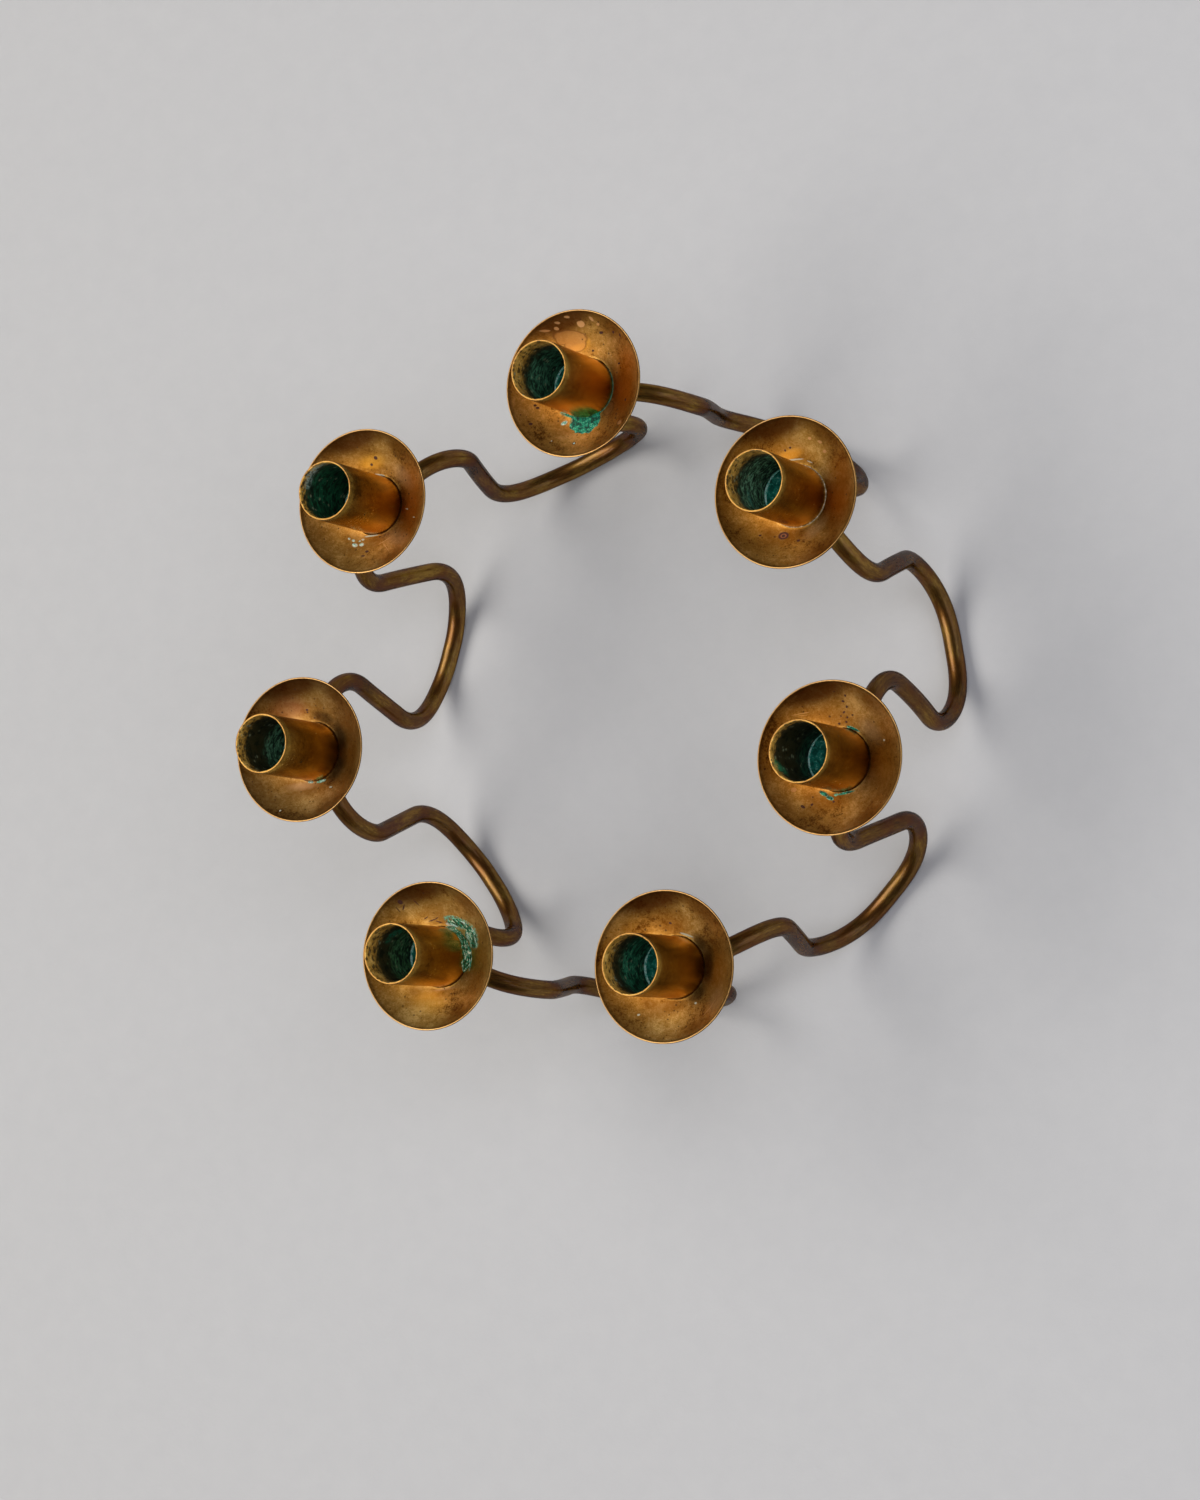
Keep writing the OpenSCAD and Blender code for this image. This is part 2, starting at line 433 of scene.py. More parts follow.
# %% Floor discs
HEAD_R = 4.2
FLOOR_R = RECESS_R - 0.05


def floor_disc(cup):
    outline = soften([
        (SCREW_HOLE_R, 0, 0), (FLOOR_R, 0, 0.2), (FLOOR_R, FLOOR_T, 0), (HEAD_R + 2, FLOOR_T, 0),
        (HEAD_R, FLOOR_T, 0.15), (SCREW_HOLE_R, FLOOR_T - (HEAD_R - SCREW_HOLE_R), 0)])
    piece = turned(f"floor_{cup}", outline, cup_place(cup, SEAT_Z), 96)
    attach(piece, "root")
    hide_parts(f"tube_floor_{cup}")
    return piece


floors = [floor_disc(cup) for cup in range(1, CUPS + 1)]
print("floor discs:", len(floors))

# %% [markdown]
# ## Finishes
# A finish is a tree of nodes, and each tree here is written with a small helper that
# adds a node, sets or links its inputs, and hands back the socket that comes out. So a
# finish reads from top to bottom like a recipe.

# %% A helper that writes node trees
def tone(text):
    """A colour as a maker writes it, #rrggbb, in the linear values that Blender wants."""
    parts = [int(text[i:i + 2], 16) / 255 for i in (1, 3, 5)]
    return [p / 12.92 if p < 0.04045 else ((p + 0.055) / 1.055) ** 2.4 for p in parts] + [1.0]


class Recipe:
    def __init__(self, tree):
        self.tree = tree

    def fill(self, node, inputs):
        for key, value in dict(inputs).items():
            if isinstance(value, bpy.types.NodeSocket):
                self.tree.links.new(value, node.inputs[key])
            else:
                node.inputs[key].default_value = value
        return node

    def add(self, kind, inputs=(), **settings):
        node = self.tree.nodes.new("ShaderNode" + kind)
        node.location.x = 180 * len(self.tree.nodes)
        for key, value in settings.items():
            setattr(node, key, value)
        return self.fill(node, inputs)

    def maths(self, kind, a, b, c=0.0):
        return self.add("Math", {0: a, 1: b, 2: c}, operation=kind).outputs[0]

    def plus(self, a, b):
        return self.maths("ADD", a, b)

    def minus(self, a, b):
        return self.maths("SUBTRACT", a, b)

    def times(self, a, b):
        return self.maths("MULTIPLY", a, b)

    def divided(self, a, b):
        return self.maths("DIVIDE", a, b)

    def vector(self, kind, a, b=(0, 0, 0)):
        out = self.add("VectorMath", {0: a, 1: b}, operation=kind).outputs
        return out["Value"] if kind == "LENGTH" else out["Vector"]

    def ramp(self, value, low, high, start=0.0, end=1.0):
        inputs = {0: value, 1: low, 2: high, 3: start, 4: end}
        return self.add("MapRange", inputs, interpolation_type="SMOOTHSTEP").outputs[0]

    def cloud(self, place, scale, detail=3.0, rough=0.55, twist=0.0):
        inputs = {"Vector": place, "Scale": scale, "Detail": detail,
                  "Roughness": rough, "Distortion": twist}
        return self.add("TexNoise", inputs).outputs[0]

    def mix(self, share, a, b):
        return self.add("Mix", {0: share, 6: a, 7: b}, data_type="RGBA").outputs[2]

    def between(self, share, a, b):
        return self.add("Mix", {0: share, 2: a, 3: b}, data_type="FLOAT").outputs[0]

    def part(self, place, axis):
        return self.add("SeparateXYZ", {0: place}).outputs[axis]

    def from_axis(self, place):
        """How far a place is from the axis of a turned piece."""
        return self.vector("LENGTH", self.vector("MULTIPLY", place, (1, 1, 0)))

    def effect(self, group, inputs):
        node = self.add("Group", node_tree=group)
        return self.fill(node, inputs).outputs


def shared_effect(name, takes, gives):
    """An empty node group with named sockets: its recipe, what goes in, what comes out."""
    tree = bpy.data.node_groups.new(name, "ShaderNodeTree")
    for label, kind, value in takes:
        socket = tree.interface.new_socket(label, in_out="INPUT", socket_type="NodeSocket" + kind)
        socket.default_value = value
    for label, kind in gives:
        tree.interface.new_socket(label, in_out="OUTPUT", socket_type="NodeSocket" + kind)
    inlets = tree.nodes.new("NodeGroupInput").outputs
    outlets = tree.nodes.new("NodeGroupOutput").inputs
    return Recipe(tree), inlets, outlets


def give(recipe, outlets, **results):
    for label, socket in results.items():
        recipe.tree.links.new(socket, outlets[label])


# %% [markdown]
# ### Old brass
# Brass that is handled and seldom polished goes brown in clouds, with finer mottling
# inside each cloud. One noise texture at one scale looks like marble. Three of them,
# wide, fine and finer still, are added here, and the sum picks between a dark, a middle
# and a light tone. The pans, tubes, rods, saddles and screws all use this group, so it
# is built once, with its tones and the size of its clouds as inputs.

# %% Shared effect: old brass
recipe, takes, gives = shared_effect("old brass", [
    ("Place", "Vector", (0, 0, 0)), ("Light", "Color", tone("#d2ac68")),
    ("Mid", "Color", tone("#a9803e")), ("Dark", "Color", tone("#5e3d16")),
    ("Gloss", "Float", 0.36), ("Haze", "Float", 0.16), ("Cloud size", "Float", 0.014)],
    [("Color", "Color"), ("Roughness", "Float"), ("Height", "Float")])
scale = recipe.divided(1.0, takes["Cloud size"])
wide = recipe.cloud(takes["Place"], scale, 4.0, 0.6, 0.4)
fine = recipe.cloud(takes["Place"], recipe.times(scale, 9.0), 4.0, 0.7)
grain = recipe.cloud(takes["Place"], recipe.times(scale, 26.0), 2.0, 0.8)
both = recipe.plus(recipe.times(wide, 0.45), recipe.times(fine, 0.3))
both = recipe.plus(both, recipe.times(grain, 0.25))
low = recipe.mix(recipe.ramp(both, 0.38, 0.49), takes["Dark"], takes["Mid"])
colour = recipe.mix(recipe.ramp(both, 0.48, 0.62), low, takes["Light"])
rough = recipe.plus(takes["Gloss"], recipe.times(takes["Haze"], both))
give(recipe, gives, Color=colour, Roughness=rough, Height=fine)
OLD_BRASS = recipe.tree
print("made the effect:", OLD_BRASS.name)

# %% [markdown]
# ### Spun lines
# The spinning tool leaves very fine rings in a dish. Hundreds of real grooves would cost
# a million faces, so the distance from the axis is stretched and fed to a noise, and its
# result only tips the light a little, through a Bump node.

# %% Shared effect: spun lines
recipe, takes, gives = shared_effect("spun lines", [
    ("Place", "Vector", (0, 0, 0)), ("Spacing", "Float", 0.0006)],
    [("Height", "Float")])
out = recipe.from_axis(takes["Place"])
ring = recipe.add("CombineXYZ", {0: recipe.divided(out, takes["Spacing"]),
                                 1: recipe.cloud(takes["Place"], 60.0, 1.0)})
give(recipe, gives, Height=recipe.cloud(ring.outputs[0], 1.0, 2.0, 0.7))
SPUN_LINES = recipe.tree
print("made the effect:", SPUN_LINES.name)

# %% [markdown]
# ### Edge wear
# Fingers and cloths keep the highest edges bright. All the edges worn here lie at the top
# of a turned piece, so height alone tells where they are. Noise nibbles at the border, or
# it would look like a painted stripe. Curvature could be measured instead, but the export
# can't keep that.

# %% Shared effect: edge wear
recipe, takes, gives = shared_effect("edge wear", [
    ("Place", "Vector", (0, 0, 0)), ("Edge height", "Float", 0.01), ("Width", "Float", 0.0006)],
    [("Mask", "Float")])
nibble = recipe.minus(recipe.cloud(takes["Place"], 900.0), 0.5)
height = recipe.maths("MULTIPLY_ADD", nibble, takes["Width"], recipe.part(takes["Place"], 2))
start = recipe.minus(takes["Edge height"], takes["Width"])
give(recipe, gives, Mask=recipe.ramp(height, start, takes["Edge height"]))
EDGE_WEAR = recipe.tree
print("made the effect:", EDGE_WEAR.name)

# %% [markdown]
# ### Places and spots
# A stain has a centre, a size and a ragged outline. A spot on its own is a clean ellipse.
# If its place is first shaken by noise, the outline goes ragged, and one shaking serves
# all the spots of a dish. So these are two groups: one shakes, the other draws.

# %% Shared effect: a shaken place
recipe, takes, gives = shared_effect("shaken place", [
    ("Place", "Vector", (0, 0, 0)), ("Reach", "Float", 0.001), ("Grain", "Float", 500.0)],
    [("Place", "Vector")])
shake = recipe.add("TexNoise", {"Vector": takes["Place"], "Scale": takes["Grain"],
                                "Detail": 4.0, "Roughness": 0.65}).outputs[1]
shake = recipe.vector("SUBTRACT", shake, (0.5, 0.5, 0.5))
reach = recipe.add("CombineXYZ", {0: takes["Reach"], 1: takes["Reach"]}).outputs[0]
shake = recipe.vector("MULTIPLY", shake, reach)
give(recipe, gives, Place=recipe.vector("ADD", takes["Place"], shake))
SHAKEN = recipe.tree
print("made the effect:", SHAKEN.name)

# %% Shared effect: a spot round a centre
recipe, takes, gives = shared_effect("spot", [
    ("Place", "Vector", (0, 0, 0)), ("Centre", "Vector", (0, 0, 0)),
    ("Turn", "Float", 0.0), ("Size", "Vector", (0.002, 0.002, 1)), ("Soft", "Float", 0.15)],
    [("Mask", "Float")])
away = recipe.vector("SUBTRACT", takes["Place"], takes["Centre"])
back = recipe.times(takes["Turn"], -1.0)
away = recipe.add("VectorRotate", {"Vector": away, "Angle": back}, rotation_type="Z_AXIS")
away = recipe.vector("LENGTH", recipe.vector("DIVIDE", away.outputs[0], takes["Size"]))
inner = recipe.minus(1.0, takes["Soft"])
outer = recipe.plus(1.0, takes["Soft"])
give(recipe, gives, Mask=recipe.ramp(away, inner, outer, 1.0, 0.0))
SPOT = recipe.tree
print("made the effect:", SPOT.name)

# %% [markdown]
# ### Specks
# Splashes of water and salt leave hundreds of dark dots. A Voronoi texture gives every
# cell its own random colour: one channel of it decides whether the cell has a speck, and
# another how large it is.

# %% Shared effect: scattered specks
recipe, takes, gives = shared_effect("specks", [
    ("Place", "Vector", (0, 0, 0)), ("Spacing", "Float", 0.002),
    ("Size", "Float", 0.15), ("Share", "Float", 0.5)],
    [("Mask", "Float")])
cells = recipe.add("TexVoronoi", {"Vector": takes["Place"],
                                  "Scale": recipe.divided(1.0, takes["Spacing"])})
pick = recipe.add("SeparateColor", {0: cells.outputs["Color"]}).outputs
kept = recipe.maths("LESS_THAN", pick[0], takes["Share"])
size = recipe.times(takes["Size"], recipe.plus(pick[1], 0.3))
near = recipe.ramp(cells.outputs["Distance"], recipe.times(size, 0.6), size, 1.0, 0.0)
give(recipe, gives, Mask=recipe.times(kept, near))
SPECKS = recipe.tree
print("made the effect:", SPECKS.name)

# %% [markdown]
# ### Green crust
# Verdigris grows where brass stays damp. It is deep green at the bottom, bluish green on
# its lumps and almost white where it has dried to powder. The same lumps that choose the
# colour go out as a height, so light and colour agree.

# %% Shared effect: green crust
recipe, takes, gives = shared_effect("green crust", [
    ("Place", "Vector", (0, 0, 0)), ("Deep", "Color", tone("#03382f")),
    ("Body", "Color", tone("#086d54")), ("Pale", "Color", tone("#6fb898")),
    ("Pale share", "Float", 0.5), ("Grain", "Float", 0.0016), ("Blend", "Float", 0.11)],
    [("Color", "Color"), ("Height", "Float")])
scale = recipe.divided(1.0, takes["Grain"])
lumps = recipe.cloud(takes["Place"], scale, 5.0, 0.65, 0.6)
crumbs = recipe.cloud(takes["Place"], recipe.times(scale, 3.0), 3.0, 0.7)
low = recipe.minus(0.49, takes["Blend"])
high = recipe.plus(0.49, takes["Blend"])
body = recipe.mix(recipe.ramp(lumps, low, high), takes["Deep"], takes["Body"])
both = recipe.plus(recipe.times(lumps, 0.5), recipe.times(crumbs, 0.5))
edge = recipe.minus(0.75, recipe.times(takes["Pale share"], 0.4))
start = recipe.minus(edge, recipe.times(takes["Blend"], 0.7))
pale = recipe.ramp(both, start, edge)
give(recipe, gives, Color=recipe.mix(pale, body, takes["Pale"]), Height=both)
GREEN_CRUST = recipe.tree
print("shared effects:", [group.name for group in bpy.data.node_groups])

# %% [markdown]
# ### From effects to a material
# Blender's Principled shader stays in each material, because the export reads it there. A
# finish begins as an empty material, and it ends when its colour, its roughness and its
# bump are linked. Whatever is the same all over a piece is set on the shader's own socket.

# %% What every finish starts and ends with
def new_finish(name):
    finish = bpy.data.materials.new(name)
    finish.use_nodes = True
    recipe = Recipe(finish.node_tree)
    return finish, recipe, finish.node_tree.nodes["Principled BSDF"]


def own_place(recipe, cup, along_x, along_y):
    """The place on a piece, and one that is shifted so no two cups show the same clouds."""
    place = recipe.add("TexCoord").outputs["Object"]
    return place, recipe.vector("ADD", place, (cup * along_x, cup * along_y, 0))


# How deep a bump may be, in millimetres: on brass that is smooth, and on what is rough.
FINE_BUMP = 0.02
ROUGH_BUMP = 0.3


def finish_off(recipe, shader, color, rough, metal, height, depth):
    """Fills the shader's main inputs, and turns a height into a bump of this depth."""
    bump = recipe.add("Bump", {"Height": height, "Distance": depth * MM, "Strength": 1.0})
    recipe.fill(shader, {"Base Color": color, "Roughness": rough, "Metallic": metal,
                         "Normal": bump.outputs[0]})


print("shared effects to choose from:", len(bpy.data.node_groups))

# %% [markdown]
# ## Marks in the dishes
# Seven cups that were used for years never look alike. Wax was scraped off and left lighter
# stains, drops of water etched purple specks, and salt and damp raised green crusts round the
# feet. These marks are placed cup by cup, in millimetres from the middle of the dish as seen from
# above.

# %% The marks of each cup: x, y, half width, half height and turn in degrees
# Two kinds here are painted light rather than marks: the bright spots on the gleaming lobes are
# painted highlights, and the dark ring round the right of the feet of cups 3 and 5 is painted
# shadow.
MARKS = {
    1: {
        "stain": [(-5.6, 19.8, 6.8, 2.6, -3), (-4.2, 17.4, 4.6, 2.8, 8), (-9, 19.4, 3, 2, 25),
            (11, -8.5, 2.3, 3, -20)],
        "drip": [(0, 24.5, 1.6, 1.1, 0), (-5, 27, 1.2, 0.4, 0), (-9.5, 25, 1.1, 0.45, 0),
            (-10.5, 23, 0.9, 0.6, 0), (-15, 22, 2, 0.4, 5), (5.5, 26, 1.1, 0.6, -40),
            (8, 24, 0.7, 0.5, 0), (19.5, -15.5, 1.3, 1, 0)],
        "lobe_highlight": [(-2.5, 16.2, 4.5, 1.3, 12), (1, 18.5, 1.5, 1.2, 0)],
        "dark": [(8.5, 21, 1, 0.5, 0), (15, 20.5, 0.6, 0.5, 0), (18.5, 19, 0.5, 0.6, 0),
            (-20, -7, 0.5, 0.5, 0), (-19, -8, 0.7, 0.5, 0), (20, -6, 0.5, 0.5, 0),
            (-20, -15, 0.7, 0.5, 0), (15.5, 9, 0.6, 0.4, 0), (3, 14.8, 0.6, 0.4, 0),
            (-1, -23, 0.7, 0.6, 0)],
        "green": [(1, -13, 6.6, 4.8, 0), (-7, -10.5, 3.5, 0.9, -15)],
        "pale": [(-8, -14, 1.3, 0.9, 30), (-10.5, -22, 0.25, 0.25, 0)]},
    2: {
        "scratch": [(6, -15, 3, 0.12, 30), (8, -18, 3, 0.12, -38)],
        "lobe_highlight": [(-1, 17.5, 6, 2.6, 10)],
        "dark": [(0.5, 19, 0.9, 0.7, 0), (-2, 16.5, 0.6, 0.5, 0), (-11, 14, 0.9, 0.7, 0),
            (-1, -19.5, 0.8, 0.5, 0), (-2, -21.5, 0.9, 0.4, 0)],
        "pale": [(1, 12.4, 2.6, 0.4, -8), (-1, -12.6, 3.2, 0.4, 8),
            (-10.5, -14, 0.6, 0.4, -30), (-8.5, -14.8, 0.7, 0.5, -30),
            (-7.3, -16.8, 1.2, 0.8, -20), (-4.5, -16.5, 1, 0.8, 0), (-4.6, -14.3, 0.6, 0.4, 0),
            (15.5, -2, 0.8, 0.2, -10), (21, -6, 0.8, 0.25, -10)],
        "haze": [(13, -14, 8, 3, -12), (14, 11, 6, 3, -40)]},
    3: {
        "dull": [(0, 0, 31, 31, 0)],
        "rosy": [(-11, 17, 7, 4, 15)],
        "dark": [(-3, 17, 0.6, 0.4, 0), (-3, 16, 0.4, 0.4, 0)],
        "foot_shadow": [(4, 14, 5, 2.2, -12), (13, 6, 3, 6, 20), (12, -7, 3, 6, -35)],
        "pale": [(-0.5, -12.5, 1.3, 0.5, 0), (6, -11.6, 0.7, 0.4, 20),
            (10.5, -14.5, 0.8, 0.35, 0), (-9, -25, 0.4, 0.35, 0)],
        "green": [(4.5, -12, 2.3, 0.6, 15)],
        "haze": [(-3, -14, 6, 1.6, 8)]},
    4: {
        "dark": [(-15.5, 21, 0.9, 0.9, 0), (-14.8, 19, 0.25, 1.4, -25),
            (-9.5, 21, 0.2, 1.3, 40), (-17, 18, 0.2, 1.2, 30), (-4.5, 14.4, 1.7, 0.22, 18),
            (-1.5, 13.9, 1.6, 0.2, -12), (-7, 15.2, 1.1, 0.2, 35), (-2.5, 15.2, 1.2, 0.2, 30)],
        "green": [(8, 13.8, 7, 2.2, -14), (14.8, 8.5, 3.4, 5, 20), (13, 0, 1.2, 5, 4)],
        "pale": [(4, 12.8, 2.6, 0.8, -12)],
        "haze": [(3, -12.7, 5, 0.5, 10)],
        "lobe_highlight": [(-2.5, -18.5, 7.5, 4, 0)]},
    5: {
        "foot_shadow": [(14, 2, 2.6, 7, 0), (10, 10, 4, 2.4, -45), (10, -10, 4, 2.6, 45)],
        "haze": [(20.5, -12, 3.8, 5, -20)],
        "pale": [(9.8, -13.4, 0.6, 0.4, 0), (-12.5, -19, 0.5, 0.4, 0), (4, 12.7, 3, 0.4, -14)],
        "dark": [(-2.5, 17, 0.6, 0.4, 0)],
        "scratch": [(17, -16, 2.6, 0.12, 48), (19, -13, 2.2, 0.1, 62)]},
    6: {
        "scratch": [(-15, 17, 3.2, 0.22, 14), (-14.6, 16.4, 2, 0.14, 10)],
        "dark": [(2, 14.5, 0.5, 0.4, 0), (2.6, 16.2, 0.4, 0.4, 0), (1.5, 18, 0.6, 0.4, 30),
            (3, 20, 0.4, 0.5, 0), (2, 22, 0.6, 0.4, 0), (3.5, 24, 0.4, 0.5, 0),
            (0, 16.6, 0.4, 0.3, 0), (5, 17, 0.5, 0.3, 0), (-1, 13.8, 0.5, 0.4, 0),
            (-12.5, -18.4, 1, 0.5, -30), (-9.5, -17.4, 0.5, 0.5, 0), (-1.5, -16, 0.5, 0.4, 0)],
        "green": [(4.5, 12, 3, 0.6, -20), (3, -12.4, 3.6, 0.5, 14), (-6, -13, 2.2, 0.8, -25),
            (-3.3, -14.6, 1.7, 0.7, -20), (-1.2, -13.2, 0.8, 0.6, 0)],
        "drip": [(-17, -12, 1, 0.9, 0)],
        "pale": [(19, 7.5, 0.5, 0.4, 0)],
        "haze": [(13, 11, 6, 3, -40)]},
    7: {
        "pale": [(-1, 14.2, 3.4, 0.25, 3), (-6, 13.4, 1.6, 0.25, 25),
            (5, 13.2, 1.2, 0.2, -20)],
        "dark": [(-4.2, -15.5, 2, 1.6, 0), (-9.7, 15, 0.5, 0.4, 0), (-4.7, 17.5, 0.4, 0.4, 0),
            (-2.5, 18.5, 0.5, 0.4, 0), (2.5, -17.5, 0.7, 0.5, 0), (-13, -15.5, 0.5, 0.4, 0)],
        "core": [(-4.2, -15.5, 1.2, 0.9, 0)],
        "black": [(-4.2, -15.5, 0.7, 0.6, 0)],
        "drip": [(6.5, 21.5, 0.8, 0.5, 0), (11, 20, 1, 0.5, -20), (12.5, 16.5, 0.9, 0.6, 0)],
        "haze": [(9, -13, 5, 2.5, 40)],
        "lobe_highlight": [(-3, 16, 5, 1.8, 15)]}}

# Marks that every dish has: painted shade under the upper rim, where the dish mirrors darker
# surroundings, and painted shade over the gleaming lobes above and below the tube and near the rim
# right of them.
EVERY_DISH = {
    "brown": [(-7, 25.5, 15, 4, 15)],
    "shade": [(-2, 18.5, 8, 4.6, 8), (-4, -16.5, 8, 3.4, 15), (-9, -14.5, 4, 3, -30),
              (13, 23.5, 8, 3.5, -30), (13.5, -23.5, 8, 3.5, 30)]}

# A painted warm reflection of the tube on the dish to the right of each tube, strongest in these
# cups.
AMBER_CUPS = (1, 2, 7)
WARM_SIDE = (19, -1, 6, 11, 0)

# Painted shade in the corner round a foot, below and above the tube, where nothing else fills it.
LOW_CORNER, HIGH_CORNER = (-2.5, -14.5, 7, 3, 0), (-0.5, 14.5, 6.5, 3.4, 0)
CORNERS = {1: [], 3: [LOW_CORNER]}

for cup, marks in MARKS.items():
    marks.update(EVERY_DISH)
    marks["warm_reflection" if cup in AMBER_CUPS else "faint_warm_reflection"] = [WARM_SIDE]
    marks["corner_shade"] = CORNERS.get(cup, [LOW_CORNER, HIGH_CORNER])

# How softly each kind of mark fades out, as a share of its size. The rest are crisp.
CRISP = 0.15
SOFT = {
    "dull": 0.1, "scratch": 0.3, "lobe_highlight": 0.5, "corner_shade": 0.6, "foot_shadow": 0.6, "brown": 0.6,
    "rosy": 0.6, "haze": 0.6, "shade": 0.7, "warm_reflection": 0.8, "faint_warm_reflection": 0.8}
print("marks:", sum(len(spots) for marks in MARKS.values() for spots in marks.values()))

# %% [markdown]
# Each mark becomes a spot, and the spots of one kind join into one mask. Large marks are
# shaken coarsely and small ones finely. Laying a mark then mixes its colour, roughness
# and metal over what is there, so a crust stops being metal as it should.

# %% Masks of the marks, and laying one over another
LARGE = 1


def marks_of(recipe, place, cup):
    """One mask for each kind of mark in this cup."""
    coarse = recipe.effect(SHAKEN, {"Place": place})["Place"]
    fine = recipe.effect(SHAKEN, {"Place": place, "Reach": 0.0004, "Grain": 900.0})["Place"]
    masks = {}
    for kind, spots in MARKS[cup].items():
        for x, y, half_x, half_y, turn in spots:
            spot = recipe.effect(SPOT, {
                "Place": coarse if min(half_x, half_y) > LARGE else fine,
                "Centre": (x * MM, y * MM, 0), "Turn": math.radians(turn),
                "Size": (half_x * MM, half_y * MM, 1), "Soft": SOFT.get(kind, CRISP)})["Mask"]
            masks[kind] = recipe.maths("MAXIMUM", masks[kind], spot) if kind in masks else spot
    return masks


def lay(recipe, state, mask, share, color, rough, metal):
    """Lays a mark over colour, roughness and metal, as far as its mask and share say."""
    cover = recipe.times(mask, share)
    return (recipe.mix(cover, state[0], color), recipe.between(cover, state[1], rough),
            recipe.between(cover, state[2], metal))


print("kinds of marks:", sorted({kind for marks in MARKS.values() for kind in marks}))

# %% [markdown]
# ### Spun brass of the pans
# A spun dish gleams in two soft lobes, above and below the tube, where its fine rings spread the
# window's light sideways. The shader's anisotropy does just that, given a tangent that runs round
# the axis. The colours could be painted on an image, but layers in a list can be read, moved and
# changed one by one. The oldest come first: clouds, painted shade under the upper rim, a painted
# warm reflection of the tube, painted shade over the lobes and in the corner round the foot, a
# painted shadow right of some feet, painted highlights on the lobes, stains and specks, then
# crusts. Last comes the rim, with painted shade just inside it, an edge that hands rubbed bright,
# and painted shade on its outer edge.

# %% Layers of a dish, oldest first: kind, share, colour, roughness and metal
# Painted light among these layers: the dark brown under the upper rim, the shade over the lobes,
# the darkening in the corner round the foot, the dark ring right of the feet, the band inside the
# rim and the outer edge are painted shade; the two warm layers are a painted reflection of the
# tube; the bright gold one is a painted highlight.
LAYERS = [
    ("brown", 0.86, "#4e2406", 0.45, 1.0), ("warm_reflection", 0.65, "#da8614", 0.38, 1.0),
    ("faint_warm_reflection", 0.5, "#cc9434", 0.38, 1.0), ("shade", 0.62, "#6a4410", 0.42, 1.0),
    ("corner_shade", 0.42, "#5a3a10", 0.42, 1.0), ("rosy", 0.5, "#8a4a38", 0.4, 1.0),
    ("dull", 0.3, "#4c2c12", 0.42, 1.0), ("haze", 0.3, "#b89a78", 0.5, 0.9),
    ("foot_shadow", 0.7, "#2c1a08", 0.45, 0.95), ("lobe_highlight", 0.26, "#e0a83a", 0.3, 1.0),
    ("stain", 0.55, "#ae7c44", 0.5, 0.95), ("outline", 0.55, "#5c3414", 0.5, 0.9),
    ("drip", 0.75, "#d2a26c", 0.5, 0.95), ("scratch", 0.6, "#e8c890", 0.4, 1.0),
    ("specks", 0.7, "#3c2210", 0.6, 0.7), ("dark", 0.95, "#3d1e1c", 0.6, 0.6),
    ("core", 0.8, "#8f5a3c", 0.5, 0.8), ("black", 0.9, "#15100f", 0.5, 0.5),
    ("green", 0.92, "the crust's own", 0.85, 0.0), ("pale", 0.8, "#aeb09a", 0.7, 0.0),
    ("inner rim shade", 0.55, "#3a2008", 0.5, 0.95), ("wear", 0.85, "#bc925c", 0.34, 1.0),
    ("outer edge", 0.75, "#43260c", 0.45, 1.0)]
print("layers of a dish:", len(LAYERS))

# %% Finish of the pans
# Light and middle tone of most dishes, and of those that differ.
PAN_TONE = ("#d2ac68", "#a9803e")
PAN_TONES = {
    1: ("#dab06c", "#b08844"), 3: ("#d2b171", "#a98445"), 4: ("#d3b470", "#aa8744"),
    5: ("#d4b674", "#ab8846"), 7: ("#cfab66", "#a6803c")}

# Distances from the axis at which the painted shade inside the rim fades in and out, and at which
# the painted shade on the outer edge begins.
RIM_SHADE_IN, RIM_SHADE_OUT = (rim_in - 1.4, rim_in - 0.4), (rim_in - 0.1, rim_in + 0.1)
OUTER_EDGE = (PAN_R - 0.55, PAN_R - 0.35)
WEAR_WIDTH = 0.3

# How much the spun lines and the green crust weigh in the bump, next to the old brass.
LINES_WEIGHT, CRUST_WEIGHT = 0.5, 8.0


def pan_masks(recipe, place, own, cup, crust_height):
    """The marks of a dish, and the masks that follow from its shape."""
    masks = marks_of(recipe, place, cup)
    if "green" in masks:
        flakes = recipe.ramp(crust_height, 0.44, 0.52, 0.3, 1.0)
        masks["green"] = recipe.times(masks["green"], flakes)
    if "stain" in masks:
        inner = recipe.minus(1.0, masks["stain"])
        border = recipe.times(masks["stain"], inner)
        masks["outline"] = recipe.times(border, 4.0)
    masks["specks"] = recipe.effect(SPECKS, {
        "Place": own, "Spacing": 0.0019, "Share": 0.3, "Size": 0.24})["Mask"]
    masks["wear"] = recipe.effect(EDGE_WEAR, {
        "Place": place, "Edge height": PAN_DEPTH * MM, "Width": WEAR_WIDTH * MM})["Mask"]
    # Painted shade: a dark band just inside the rim, and a dark outer edge, which keep the bright
    # rim line thin.
    out = recipe.from_axis(place)
    fade_in = recipe.ramp(out, RIM_SHADE_IN[0] * MM, RIM_SHADE_IN[1] * MM)
    fade_out = recipe.ramp(out, RIM_SHADE_OUT[0] * MM, RIM_SHADE_OUT[1] * MM, 1.0, 0.0)
    masks["inner rim shade"] = recipe.times(fade_in, fade_out)
    masks["outer edge"] = recipe.ramp(out, OUTER_EDGE[0] * MM, OUTER_EDGE[1] * MM)
    return masks


